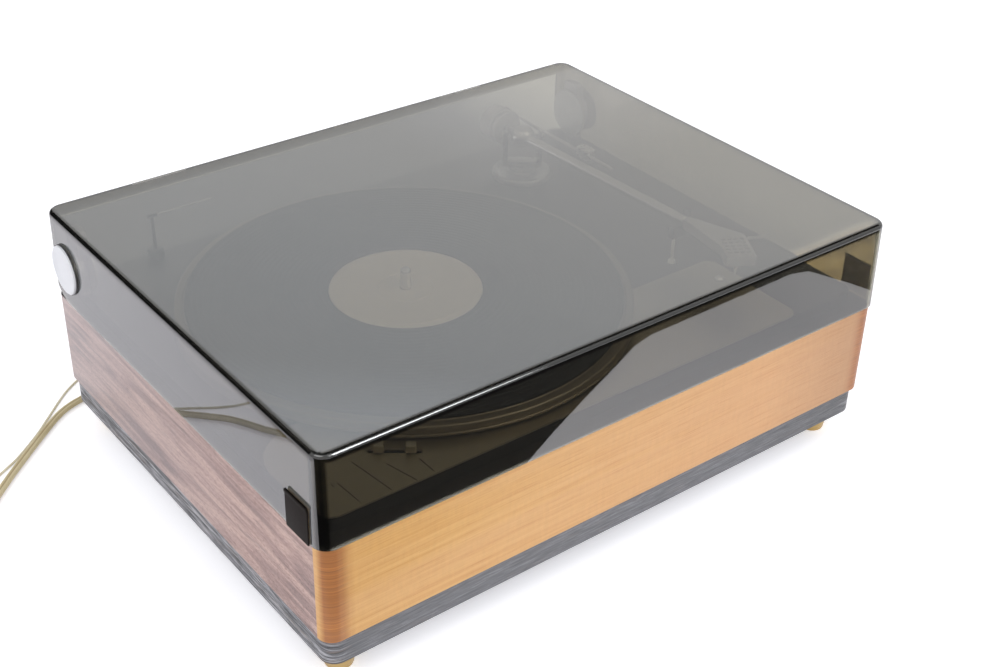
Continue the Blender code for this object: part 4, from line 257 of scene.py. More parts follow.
# Studio: the table, a dark sheet in front of the turntable and cards that show only in reflections, where
# they paint dark reflections and a highlight, and the lamps
TABLE_SIZE = 8.0
TABLE_GLOW = 0.42
PATCH_GLOW = 3.6
DARK_SHEET_LIFT = 0.0020
DARK_SHEET_OUTLINE = [
    (-1.20, -0.20), (-0.60, -0.13), (-0.388, -0.166), (-0.10, -0.238), (0.003, -0.277), (0.046, -0.297),
    (0.095, -0.318), (0.139, -0.336), (0.169, -0.349), (0.190, -0.3535), (0.350, -0.3555), (0.366, -0.350),
    (0.377, -0.317), (0.385, -0.285), (0.43, -0.26), (0.52, -0.33), (0.60, -1.50), (-1.20, -1.50),
]
STANDING = (math.pi / 2, 0.0, 0.0)
LYING = (0.0, 0.0, 0.0)
REAR_CARD = ((-1.75, 2.0, 1.6), STANDING, (3.5, 3.0, 1.0))
CEILING_CARD = ((1.2, 0.9, 3.0), LYING, (6.0, 3.4, 1.0))
HIGHLIGHT_CARD = ((0.68, -1.5, 1.60), STANDING, (0.44, 1.5, 1.0))
HIGHLIGHT_CARD_GLOW = 16.0
LEFT_SOFTBOX = ((-1.30, -0.50, 1.50), (1.2, 1.0), 9.0)
FRONT_SOFTBOX = ((0.50, -1.80, 1.70), (1.4, 1.0), 12.0)
LAMP_TARGET = Vector((0.0, 0.0, 0.08))
ROOM_STRENGTH = 0.80


def place_camera():
    """Stands the camera at the front left, above the lid."""
    lens = bpy.data.cameras.new("camera")
    lens.lens = CAMERA_LENS
    lens.sensor_width = CAMERA_SENSOR
    lens.clip_start, lens.clip_end = CAMERA_SIGHT
    camera = bpy.data.objects.new("camera", lens)
    bpy.context.scene.collection.objects.link(camera)
    forward = CAMERA_FORWARD.normalized()
    up = CAMERA_RIGHT.normalized().cross(forward).normalized()
    turn = Matrix((forward.cross(up), up, -forward)).transposed()
    camera.matrix_world = Matrix.Translation(CAMERA_PLACE) @ turn.to_4x4()
    bpy.context.scene.camera = camera


def tone(red, green, blue):
    """Turns a colour of 0 to 255, as a screen shows it, into the linear one that a shader takes."""
    levels = [value / 255 for value in (red, green, blue)]
    linear = [v / 12.92 if v <= 0.04045 else ((v + 0.055) / 1.055) ** 2.4 for v in levels]
    return (*linear, 1.0)


def grey(level):
    """A neutral tone."""
    return tone(level, level, level)


def darkened(colour, share):
    """The same colour, darker by a share."""
    return tuple(part * (1 - share) for part in colour[:3]) + (1.0,)


class Finish:
    """A surface finish: a Principled shader and the pattern nodes that feed it."""

    def __init__(self, name, colour, roughness, metallic=0.0, **sockets):
        self.material = bpy.data.materials.new(name)
        self.material.use_nodes = True
        self.nodes = self.material.node_tree.nodes
        self.links = self.material.node_tree.links
        self.shader = self.nodes["Principled BSDF"]
        self.output = self.nodes["Material Output"]
        sockets.update(Base_Color=colour, Roughness=roughness, Metallic=metallic)
        for socket, value in sockets.items():
            self.shader.inputs[socket.replace("_", " ")].default_value = value

    def add(self, kind, settings=None, **inputs):
        """Adds a node, sets its settings, and sets or links its inputs."""
        node = self.nodes.new(kind)
        for key, value in (settings or {}).items():
            setattr(node, key, value)
        for key, value in inputs.items():
            self.feed(node.inputs[key.replace("_", " ")], value)
        return node

    def feed(self, socket, value):
        """Links a socket to another one, or sets it to a plain value."""
        if isinstance(value, bpy.types.NodeSocket):
            self.links.new(value, socket)
        else:
            socket.default_value = value

    def space(self, scale=(1.0, 1.0, 1.0), place=(0.0, 0.0, 0.0), source="Object"):
        """Gives pattern coordinates from the piece's own space or from its grain map."""
        read = self.add("ShaderNodeTexCoord")
        mapping = self.add("ShaderNodeMapping", Vector=read.outputs[source], Scale=scale, Location=place)
        return mapping.outputs["Vector"]

    def parts(self, vector):
        """Splits a vector into its three parts."""
        node = self.add("ShaderNodeSeparateXYZ", Vector=vector)
        return node.outputs["X"], node.outputs["Y"], node.outputs["Z"]

    def noise(self, vector, detail, roughness, distortion=0.0, scale=1.0):
        """Gives a cloudy value from 0 to 1."""
        node = self.add("ShaderNodeTexNoise", Vector=vector, Scale=scale, Detail=detail, Roughness=roughness,
                        Distortion=distortion)
        return node.outputs["Fac"]

    def cloud(self, scale, detail=3.0, roughness=0.6):
        """Gives a cloudy value in the piece's own space, by one scale or by three."""
        scale = (scale, scale, scale) if isinstance(scale, float) else scale
        return self.noise(self.space(scale), detail, roughness)

    def grain(self, lengthwise, across, detail, roughness, distortion=0.0, place=(0.0, 0.0, 0.0)):
        """Gives a cloudy value that is drawn out along the piece's grain map."""
        vector = self.space((lengthwise, across, 1.0), place, "UV")
        return self.noise(vector, detail, roughness, distortion)

    def ramp(self, value, *stops):
        """Maps a value to colours or greys through stops of position and colour."""
        node = self.add("ShaderNodeValToRGB", Fac=value)
        band = node.color_ramp
        while len(band.elements) < len(stops):
            band.elements.new(0.5)
        for element, (position, colour) in zip(band.elements, stops):
            element.position = position
            element.color = colour if isinstance(colour, tuple) else (colour, colour, colour, 1.0)
        return node.outputs["Color"]

    def blend(self, share, first, second, how="MIX"):
        """Mixes two colours by a share."""
        node = self.add("ShaderNodeMix", {"data_type": "RGBA", "blend_type": how, "clamp_factor": True})
        for index, value in ((0, share), (6, first), (7, second)):
            self.feed(node.inputs[index], value)
        return node.outputs[2]

    def work(self, how, first, second=0.5, third=0.0):
        """Works out one number from others."""
        node = self.add("ShaderNodeMath", {"operation": how})
        for index, value in enumerate((first, second, third)):
            self.feed(node.inputs[index], value)
        return node.outputs[0]

    def times(self, first, second):
        """Product of two numbers."""
        return self.work("MULTIPLY", first, second)

    def plus(self, first, second):
        """Sum of two numbers."""
        return self.work("ADD", first, second)

    def minus(self, first, second):
        """Difference of two numbers."""
        return self.work("SUBTRACT", first, second)

    def unsigned(self, value):
        """A number without its sign."""
        return self.work("ABSOLUTE", value)

    def above(self, value, limit):
        """1 where a value is over a limit, and 0 elsewhere."""
        return self.work("GREATER_THAN", value, limit)

    def reach(self, first, second):
        """Distance from an axis, by the two offsets from it."""
        return self.work("SQRT", self.plus(self.times(first, first), self.times(second, second)))

    def mix_shaders(self, share, first, second):
        """Mixes two shaders by a share."""
        node = self.add("ShaderNodeMixShader", Fac=share)
        self.links.new(first, node.inputs[1])
        self.links.new(second, node.inputs[2])
        return node.outputs["Shader"]

    def paint(self, colour=None, roughness=None, height=None, depth=0.0001, strength=1.0):
        """Feeds the shader its colour, its roughness and its relief, which is depth metres high."""
        if colour is not None:
            self.feed(self.shader.inputs["Base Color"], colour)
        if roughness is not None:
            self.feed(self.shader.inputs["Roughness"], roughness)
        if height is not None:
            relief = self.add("ShaderNodeBump", Height=height, Distance=depth, Strength=strength)
            self.feed(self.shader.inputs["Normal"], relief.outputs["Normal"])
        return self


def tint_front_veneer(finish, along, fibre):
    """Light orange veneer, with a painted pink glare to the right, and darker where it is turned round the
    corners.
    """
    streak = finish.grain(5.0, 420.0, 4.0, 0.6, 0.5)
    broad = finish.grain(2.6, 34.0, 3.0, 0.5, 0.8)
    ripple = finish.grain(380.0, 90.0, 3.0, 0.6)
    bands = finish.grain(6.0, 900.0, 4.0, 0.7, place=(2.0, 0.0, 0.0))
    # Painted glare: towards the right the veneer is blended to a pinker tone that stands in for glare
    pink_glare = finish.work("MULTIPLY_ADD", along, 2.4, 0.42)
    light = finish.ramp(streak, (0.30, tone(204, 150, 80)), (0.5, tone(212, 162, 92)),
                        (0.70, tone(220, 174, 106)))
    light = finish.blend(finish.ramp(broad, (0.35, 0.0), (0.75, 0.6)), light, tone(216, 168, 118))
    light = finish.blend(finish.ramp(pink_glare, (0.1, 0.0), (1.0, 0.75)), light, tone(212, 160, 122))
    fine = finish.ramp(fibre, (0.30, 0.55), (0.46, 0.0))
    light = finish.blend(fine, light, tone(212, 172, 128), "MULTIPLY")
    light = finish.blend(0.10, light, finish.ramp(ripple, (0.3, 0.45), (0.7, 1.0)), "MULTIPLY")
    # Darker towards the right end
    light = finish.blend(finish.ramp(along, (0.12, 0.0), (0.20, 0.6)), light, grey(206), "MULTIPLY")
    corner = finish.ramp(finish.unsigned(along), (0.2015, 0.0), (0.2085, 0.85), (0.2190, 0.85), (0.2210, 0.0))
    turned = finish.ramp(bands, (0.30, tone(118, 62, 34)), (0.55, tone(164, 98, 46)),
                         (0.75, tone(192, 124, 58)))
    return finish.blend(corner, light, turned)


def tint_side_veneer(finish, along, fibre):
    """Red-brown veneer with dark figure and open pores; its tones carry a painted pale sheen, which grows
    paler to the rear.
    """
    figure = finish.grain(7.0, 90.0, 5.0, 0.6, 1.6, (3.0, 1.0, 0.0))
    pores = finish.grain(330.0, 1300.0, 3.0, 0.75)
    knots = finish.grain(13.0, 150.0, 6.0, 0.7, 2.2, (1.7, 4.0, 0.0))
    # The tones are lifted towards grey and blue: a painted pale sheen, the floor reflected at a grazing angle
    dark = finish.ramp(figure, (0.32, tone(122, 98, 95)), (0.46, tone(162, 132, 125)),
                       (0.60, tone(192, 162, 152)))
    dark = finish.blend(finish.ramp(pores, (0.34, 0.85), (0.50, 0.0)), dark, tone(168, 140, 138), "MULTIPLY")
    dark = finish.blend(finish.ramp(knots, (0.32, 0.6), (0.42, 0.0)), dark, tone(92, 82, 86))
    dark = finish.blend(finish.ramp(fibre, (0.30, 0.45), (0.48, 0.0)), dark, tone(150, 124, 120), "MULTIPLY")
    # Painted sheen: paler and greyer towards the rear
    rear_sheen = finish.ramp(finish.unsigned(along), (0.30, 0.0), (0.54, 0.45))
    return finish.blend(rear_sheen, dark, tone(186, 180, 184))


def shade_wood(turned_sides):
    """Oiled veneer: the front's runs round its corners as far as turned_sides, then the sides' begins."""
    finish = Finish("oiled_veneer", tone(200, 140, 80), 0.42)
    along, _, _ = finish.parts(finish.space(source="UV"))
    _, _, height = finish.parts(finish.space())
    fibre = finish.grain(30.0, 2600.0, 4.0, 0.65)
    side = finish.above(finish.unsigned(along), turned_sides)
    colour = finish.blend(side, tint_front_veneer(finish, along, fibre),
                          tint_side_veneer(finish, along, fibre))
    top = finish.above(height, WOOD_HIGH.z - WOOD_EDGE_RADIUS / 2)
    colour = finish.blend(top, colour, tone(22, 17, 15))
    return finish.paint(colour, finish.ramp(fibre, (0.3, 0.52), (0.6, 0.36)), fibre, 0.00004, 0.4)


def shade_skirt():
    """Coarse-grained rail, stained black, with light grey streaks along its fibres that are a painted sheen.
    """
    finish = Finish("black_stain", tone(86, 88, 98), 0.5)
    along, _, _ = finish.parts(finish.space(source="UV"))
    fibre = finish.grain(46.0, 780.0, 5.0, 0.75, 0.5)
    wide = finish.grain(8.0, 420.0, 4.0, 0.6, 0.9, (5.0, 2.0, 0.0))
    brown = finish.grain(30.0, 300.0, 3.0, 0.6, place=(1.0, 7.0, 0.0))
    # Painted sheen: the light grey along the fibres stands for light caught by the grain
    colour = finish.ramp(fibre, (0.36, tone(40, 41, 46)), (0.48, tone(112, 113, 118)),
                         (0.60, tone(182, 182, 188)))
    streak = finish.ramp(wide, (0.36, 0.75), (0.56, 0.0))
    colour = finish.blend(streak, colour, tone(104, 105, 112), "MULTIPLY")
    colour = finish.blend(finish.ramp(brown, (0.55, 0.0), (0.72, 0.5)), colour, tone(136, 120, 108))
    front = finish.ramp(finish.unsigned(along), (0.200, 0.78), (0.215, 0.0))
    colour = finish.blend(front, colour, tone(100, 102, 107))
    # Darker towards the right end of the front
    right_end = finish.ramp(along, (0.10, 0.0), (0.20, 0.7))
    colour = finish.blend(right_end, colour, tone(208, 208, 206), "MULTIPLY")
    return finish.paint(colour, finish.ramp(fibre, (0.3, 0.6), (0.7, 0.42)), fibre, 0.00015, 0.8)


def near_edge(finish):
    """Gives the distance of a point on the lid from the nearest edge between two of its outer sides."""
    x, y, z = finish.parts(finish.space())
    beside = finish.minus((LID_HIGH.x - LID_LOW.x) / 2, finish.unsigned(x))
    beside = finish.work("MULTIPLY_ADD", finish.above(x, 0.0), LID_THIN_DARK_EDGE, beside)
    before = finish.minus((LID_HIGH.y - LID_LOW.y) / 2, finish.unsigned(y))
    before = finish.work("MULTIPLY_ADD", finish.above(y, 0.0), LID_THIN_DARK_EDGE, before)
    under = finish.minus(LID_HIGH.z, z)
    corner = finish.work("MAXIMUM", beside, before)
    rim = finish.work("MAXIMUM", finish.work("MINIMUM", beside, before), under)
    return finish.work("MINIMUM", finish.minus(corner, LID_DARK_CORNER), rim)


def dust_and_sheen_film(finish, across, deep, corner):
    """Share of the lid's film, partly dust and partly a painted sheen: thickest on top, to the right and
    rear, and thin along the rear edge.
    """
    sideways, _, facing = finish.parts(finish.add("ShaderNodeTexCoord").outputs["Normal"])
    cloud = finish.cloud(9.0, 4.0)
    thicker = finish.ramp(across, (0.28, 0.098), (0.72, 0.150))
    rear_right = finish.times(finish.ramp(across, (0.53, 0.0), (0.62, 0.085)),
                              finish.ramp(deep, (0.49, 0.0), (0.60, 1.0)))
    front_left = finish.ramp(corner, (0.26, 0.0), (0.33, 0.065))
    thicker = finish.plus(thicker, finish.plus(rear_right, front_left))
    thicker = finish.times(thicker, finish.ramp(deep, (0.645, 1.0), (0.659, 0.25)))
    above = finish.times(finish.ramp(facing, (0.55, 0.0), (1.0, 1.0)), thicker)
    beside = finish.ramp(finish.unsigned(sideways), (0.5, 0.002), (0.95, 0.085))
    return finish.times(finish.plus(above, beside), finish.ramp(cloud, (0.2, 0.88), (0.8, 1.0)))


def shade_lid():
    """Smoked acrylic, clear through its sides, with painted shade along its edges and a film over it that is
    partly dust and partly a painted sheen.
    """
    clear_tint = tone(170, 166, 155)
    finish = Finish("smoked_lid", clear_tint, 0.02, IOR=1.72, Transmission_Weight=1.0)
    # Painted shade: the tint turns dark along the edges, for the light lost on the long path through the
    # rounded acrylic there
    edge = finish.ramp(finish.times(near_edge(finish), 100.0), (0.40, 1.0), (0.56, 0.0))
    finish.paint(finish.blend(edge, clear_tint, tone(36, 34, 30)))
    x, y, _ = finish.parts(finish.space())
    # A ramp reads from 0 to 1, so the middle of the lid is put at 0.5
    across, deep = finish.plus(x, 0.5), finish.plus(y, 0.5)
    corner = finish.minus(0.0, finish.plus(x, y))
    # The film is partly dust and partly a painted sheen of the bright room on the acrylic, tinted bluer on
    # the left as a painted reflection
    dust_and_sheen = finish.times(dust_and_sheen_film(finish, across, deep, corner), finish.minus(1.0, edge))
    film_tint = finish.ramp(across, (0.36, tone(202, 210, 222)), (0.70, tone(212, 212, 214)))
    film = finish.add("ShaderNodeBsdfDiffuse", Color=film_tint)
    dusty = finish.mix_shaders(dust_and_sheen, finish.shader.outputs["BSDF"], film.outputs["BSDF"])
    clear = finish.add("ShaderNodeBsdfTransparent", Color=tone(212, 208, 200))
    in_shadow = finish.add("ShaderNodeLightPath").outputs["Is Shadow Ray"]
    final = finish.mix_shaders(in_shadow, dusty, clear.outputs["BSDF"])
    finish.links.new(final, finish.output.inputs["Surface"])
    return finish


def shade_platter(colour, roughness, centre):
    """Turned aluminium with fine tool rings about its axis and a paler plate in the middle."""
    finish = Finish("turned_aluminium", colour, roughness, 1.0)
    x, y, _ = finish.parts(finish.space(place=(-centre.x, -centre.y, 0.0)))
    radius = finish.reach(x, y)
    vector = finish.add("ShaderNodeCombineXYZ", X=radius).outputs["Vector"]
    rings = finish.noise(vector, 3.0, 0.7, scale=2600.0)
    cloud = finish.cloud(30.0, 3.0, 0.5)
    darker = darkened(colour, 0.22)
    tint = finish.ramp(rings, (0.3, darker), (0.7, colour))
    tint = finish.blend(finish.ramp(cloud, (0.35, 0.25), (0.65, 0.0)), tint, darker)
    label = finish.work("LESS_THAN", radius, LABEL_RADIUS + PLATTER_STEP / 2)
    plate = finish.ramp(rings, (0.3, tone(214, 204, 186)), (0.7, tone(226, 218, 202)))
    finish.feed(finish.shader.inputs["Metallic"], finish.ramp(label, (0.0, 1.0), (1.0, 0.35)))
    gloss = finish.ramp(rings, (0.3, roughness * 1.3), (0.7, roughness * 0.8))
    return finish.paint(finish.blend(label, tint, plate), gloss, rings, 0.00002, 0.3)


def shade_cap():
    """Satin white disc with a thin dark metal ring round it."""
    finish = shade_plain("white_cap", tone(222, 224, 230), 0.36, 800.0, 0.05)
    middle = middle_of("hinge_cap_left")
    _, y, z = finish.parts(finish.space(place=(0.0, -middle.y, -middle.z)))
    ring = finish.above(finish.reach(y, z), CAP_RING_INSIDE)
    tint = finish.shader.inputs["Base Color"].links[0].from_socket
    return finish.paint(finish.blend(ring, tint, tone(58, 58, 62)))


def shade_grip():
    """Soft black pad on a pale layer of tape, which shows only from inside the lid."""
    finish = Finish("soft_black", tone(30, 25, 23), 0.7, Specular_IOR_Level=0.12)
    across, _, _ = finish.parts(finish.space())
    grain = finish.cloud(900.0)
    patch = finish.cloud((60.0, 220.0, 160.0))
    tape = finish.ramp(patch, (0.35, tone(196, 150, 96)), (0.65, tone(238, 212, 166)))
    pad = finish.ramp(grain, (0.3, tone(26, 21, 19)), (0.7, tone(34, 29, 27)))
    outside = finish.above(finish.unsigned(across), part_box("lid_grip_right")[0].x + GRIP_TAPE)
    return finish.paint(finish.blend(outside, tape, pad), 0.7, grain, 0.00002, 0.3)


def shade_metal(name, colour, roughness, brush=300.0, worn=0.12, metallic=1.0):
    """Metal with fine tool marks and a slightly uneven sheen."""
    finish = Finish(name, colour, roughness, metallic)
    marks = finish.cloud(brush, 4.0)
    tint = finish.ramp(marks, (0.3, darkened(colour, worn)), (0.7, colour))
    gloss = finish.ramp(marks, (0.3, roughness * 1.3), (0.7, roughness * 0.8))
    return finish.paint(tint, gloss, marks, 0.00002, 0.3)


def shade_plain(name, colour, roughness, grain=900.0, spread=0.18, **sockets):
    """Moulded or painted surface with a fine texture and slight shifts of tone."""
    finish = Finish(name, colour, roughness, **sockets)
    fine = finish.cloud(grain)
    broad = finish.cloud(18.0, 3.0, 0.5)
    tint = finish.ramp(broad, (0.3, darkened(colour, spread)), (0.7, colour))
    gloss = finish.ramp(fine, (0.3, min(roughness * 1.2, 1.0)), (0.7, roughness * 0.85))
    return finish.paint(tint, gloss, fine, 0.00003, 0.4)


def shade_lead():
    """Yellowed twin lead, darker and browner in the groove between its two cores."""
    finish = Finish("yellowed_lead", tone(205, 190, 150), 0.45)
    _, round_it, _ = finish.parts(finish.space(source="UV"))
    core = finish.work("FRACT", finish.times(round_it, 2.0))
    groove = finish.unsigned(finish.minus(core, 0.5))
    dirt = finish.grain(40.0, 4.0, 4.0, 0.6)
    colour = finish.ramp(dirt, (0.3, tone(188, 172, 130)), (0.7, tone(214, 202, 166)))
    # Darker and browner towards the groove between the cores
    colour = finish.blend(finish.ramp(groove, (0.0, 0.85), (0.09, 0.0)), colour, tone(140, 118, 78))
    return finish.paint(colour, finish.ramp(dirt, (0.3, 0.55), (0.7, 0.38)), dirt, 0.00005, 0.3)


def shade_wire():
    """Thin single wire in aged white sleeving."""
    finish = Finish("aged_wire", tone(222, 214, 190), 0.45)
    dirt = finish.grain(60.0, 3.0, 4.0, 0.6)
    colour = finish.ramp(dirt, (0.3, tone(204, 194, 164)), (0.7, tone(230, 224, 204)))
    return finish.paint(colour, finish.ramp(dirt, (0.3, 0.55), (0.7, 0.4)), dirt, 0.00003, 0.3)


def select_only(item):
    """Makes a piece the only one that the next step acts on."""
    bpy.ops.object.select_all(action="DESELECT")
    item.select_set(True)
    bpy.context.view_layer.objects.active = item


def settle(item):
    """Takes a piece's place, turn and size into its mesh."""
    select_only(item)
    bpy.ops.object.transform_apply(location=True, rotation=True, scale=True)
    return item


def begin(name):
    """Names the primitive that was just added and takes its place and size into its mesh."""
    item = bpy.context.object
    item.name = name
    item.data.name = name
    return settle(item)


def copy_of(item, name):
    """Copies a piece, with a mesh of its own."""
    copied = bpy.data.objects.new(name, item.data.copy())
    copied.data.name = name
    bpy.context.scene.collection.objects.link(copied)
    return copied


def pick(item, kind, test):
    """In edit mode, selects the faces or edges of a mesh that pass a test, and nothing else."""
    bpy.ops.mesh.select_mode(type="FACE" if kind == "faces" else "EDGE")
    bpy.ops.mesh.select_all(action="DESELECT")
    mesh = bmesh.from_edit_mesh(item.data)
    for part in getattr(mesh, kind):
        part.select_set(test(part))
    mesh.select_flush_mode()
    bmesh.update_edit_mesh(item.data)


def edit(item):
    """Opens a piece in edit mode."""
    select_only(item)
    bpy.ops.object.mode_set(mode="EDIT")


def close():
    """Leaves edit mode."""
    bpy.ops.object.mode_set(mode="OBJECT")


def point_outwards():
    """In edit mode, turns all the faces outwards."""
    bpy.ops.mesh.select_all(action="SELECT")
    bpy.ops.mesh.normals_make_consistent(inside=False)


def apply_modifier(item, kind, **settings):
    """Adds a modifier and applies it at once."""
    modifier = item.modifiers.new(kind.lower(), kind)
    for key, value in settings.items():
        setattr(modifier, key, value)
    select_only(item)
    bpy.ops.object.modifier_apply(modifier=modifier.name)


def carve(item, cutter):
    """Cuts a piece with another one, which is then removed."""
    apply_modifier(item, "BOOLEAN", object=cutter, operation="DIFFERENCE", solver="EXACT")
    bpy.data.objects.remove(cutter, do_unlink=True)


def dress(item, finish, body, replaced=(), angle=35.0):
    """Gives a finished piece its finish, its smooth faces and the body that it rides on."""
    select_only(item)
    bpy.ops.object.shade_smooth_by_angle(angle=math.radians(angle))
    item.data.materials.clear()
    item.data.materials.append(finish.material)
    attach(item, body)
    if replaced:
        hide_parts(*replaced)
    return item


def refinish(finish, *names):
    """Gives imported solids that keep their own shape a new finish."""
    for name in names:
        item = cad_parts[name]
        item.data.materials.clear()
        item.data.materials.append(finish.material)
        select_only(item)
        bpy.ops.object.shade_smooth_by_angle(angle=math.radians(32.0))


def lathe(name, profile, sides=96, bored=False):
    """Turns a profile of radius and height about Z: a disc is extruded and scaled, ring by ring.

    A bored piece has its two end discs taken off and the gap between their rims bridged.
    """
    radius, height = profile[0]
    bpy.ops.mesh.primitive_circle_add(vertices=sides, radius=radius, fill_type="NGON",
                                      location=(0.0, 0.0, height))
    item = begin(name)
    edit(item)
    bpy.ops.mesh.select_all(action="SELECT")
    for next_radius, next_height in profile[1:]:
        bpy.ops.mesh.extrude_region_move(TRANSFORM_OT_translate={"value": (0.0, 0.0, next_height - height)})
        share = next_radius / radius
        bpy.ops.transform.resize(value=(share, share, 1.0), center_override=(0.0, 0.0, next_height))
        radius, height = next_radius, next_height
    if bored:
        pick(item, "faces", lambda face: len(face.verts) > 4)
        bpy.ops.mesh.delete(type="FACE")
        pick(item, "edges", lambda edge: len(edge.link_faces) == 1)
        bpy.ops.mesh.bridge_edge_loops()
    point_outwards()
    close()
    return item


def stand(item, place, direction=(0.0, 0.0, 1.0)):
    """Points a piece's Z at a direction and moves it to its place, all in its mesh."""
    item.rotation_euler = Vector(direction).to_track_quat("Z", "Y").to_euler()
    item.location = place
    return settle(item)


def rounded_block(name, low, high, edge):
    """Box between two corners, with all its edges rounded."""
    bpy.ops.mesh.primitive_cube_add(size=1.0, location=(low + high) / 2, scale=high - low)
    item = begin(name)
    edit(item)
    bpy.ops.mesh.select_all(action="SELECT")
    bpy.ops.mesh.bevel(offset=edge, segments=3, affect="EDGES")
    close()
    return item


def join_up(items, name):
    """Makes one piece of several that are fixed together."""
    select_only(items[0])
    for item in items[1:]:
        item.select_set(True)
    bpy.ops.object.join()
    items[0].name = name
    return items[0]


def middle_of(name):
    """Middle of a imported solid's box."""
    low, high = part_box(name)
    return (low + high) / 2


def upright(edge):
    """Tells if an edge stands straight up, or nearly."""
    first, last = [vertex.co for vertex in edge.verts]
    return abs((last - first).normalized().z) > 0.9


def map_grain(item, size, radius):
    """Lays the grain map round a frame: its first part runs round the outside, its second up.

    Gives how far round the outside a side begins, counted from the middle of the front.
    """
    flat_width = size.x / 2 - radius
    flat_depth = size.y / 2 - radius
    quarter = radius * math.pi / 2

    def round_outside(x, y):
        side = abs(x)
        if side <= flat_width and y < 0:
            return side
        if side > flat_width and y < -flat_depth:
            angle = math.atan2(side - flat_width, -flat_depth - y)
            return flat_width + radius * angle
        if side > flat_width and y <= flat_depth:
            return flat_width + quarter + y + flat_depth
        if side > flat_width:
            angle = math.atan2(y - flat_depth, side - flat_width)
            return flat_width + quarter + 2 * flat_depth + radius * angle
        return flat_width + 2 * quarter + 2 * flat_depth + flat_width - side

    while item.data.uv_layers:
        item.data.uv_layers.remove(item.data.uv_layers[0])
    layer = item.data.uv_layers.new(name="grain")
    for polygon in item.data.polygons:
        sign = 1.0 if polygon.center.x >= 0 else -1.0
        for corner in polygon.loop_indices:
            place = item.data.vertices[item.data.loops[corner].vertex_index].co
            layer.data[corner].uv = (sign * round_outside(place.x, place.y), place.z)
    return flat_width + quarter


def model_frame(name, low, high, rail, corner, edge):
    """Hollow frame of four rails with round corners and eased edges."""
    size = high - low
    middle = (high + low) / 2
    bpy.ops.mesh.primitive_cube_add(size=1.0, location=middle, scale=size)
    item = begin(name)
    edit(item)
    pick(item, "edges", upright)
    bpy.ops.mesh.bevel(offset=corner, segments=14, affect="EDGES")
    pick(item, "edges", lambda e: e.calc_face_angle() > 1.0)
    bpy.ops.mesh.bevel(offset=edge, segments=3, affect="EDGES")
    close()
    bpy.ops.mesh.primitive_cube_add(size=1.0, location=middle,
                                    scale=(size.x - 2 * rail, size.y - 2 * rail, FAR_OUT))
    carve(item, begin("frame_opening"))
    edit(item)
    point_outwards()
    close()
    return item


def split_in_middle(item):
    """Cuts a frame's faces at the plane between left and right, so that its map has corners there."""
    edit(item)
    bpy.ops.mesh.select_all(action="SELECT")
    bpy.ops.mesh.bisect(plane_co=(0.0, 0.0, 0.0), plane_no=(1.0, 0.0, 0.0))
    close()


def build_plinth():
    """The wooden frame and the black skirt under it."""
    wood = model_frame("wood_frame", WOOD_LOW, WOOD_HIGH, WOOD_THICKNESS, WOOD_CORNER_RADIUS,
                       WOOD_EDGE_RADIUS)
    split_in_middle(wood)
    turned_sides = map_grain(wood, WOOD_HIGH - WOOD_LOW, WOOD_CORNER_RADIUS)
    dress(wood, shade_wood(turned_sides), "plinth", ["plinth_frame"])
    apply_modifier(wood, "WEIGHTED_NORMAL", keep_sharp=True)

    size = SKIRT_HIGH - SKIRT_LOW
    skirt = model_frame("skirt_rails", SKIRT_LOW, SKIRT_HIGH, SKIRT_RAIL, SKIRT_CORNER_RADIUS,
                        SKIRT_EDGE_RADIUS)
    rebate_top = SKIRT_LOW.z + BOARD_THICKNESS + SEAT_GAP
    narrower = 2 * SKIRT_RAIL - 2 * BOARD_REBATE
    bpy.ops.mesh.primitive_cube_add(size=1.0, location=(0.0, 0.0, rebate_top - FAR_OUT / 2),
                                    scale=(size.x - narrower, size.y - narrower, FAR_OUT))
    carve(skirt, begin("board_rebate"))
    split_in_middle(skirt)
    map_grain(skirt, size, SKIRT_CORNER_RADIUS)
    dress(skirt, shade_skirt(), "plinth", ["base_skirt"])
    apply_modifier(skirt, "WEIGHTED_NORMAL", keep_sharp=True)


def cylinder_across(name, radius, length, y, z, sides):
    """Cylinder that lies from left to right."""
    bpy.ops.mesh.primitive_cylinder_add(vertices=sides, radius=radius, depth=length, location=(0.0, y, z),
                                        rotation=(0.0, math.pi / 2, 0.0))
    return begin(name)


def corner_sweep(hinge_y, hinge_z):
    """What is cut from the lower rear corners, so that they clear the deck as the lid tips."""
    bpy.ops.mesh.primitive_cube_add(size=1.0, location=(0.0, hinge_y + HINGE_RISE, hinge_z - HINGE_RISE),
                                    scale=(FAR_OUT, 2 * HINGE_RISE, 2 * HINGE_RISE))
    block = begin("corner_block")
    carve(block, cylinder_across("corner_round", HINGE_RISE, 1.2 * FAR_OUT, hinge_y, hinge_z, 128))
    return block


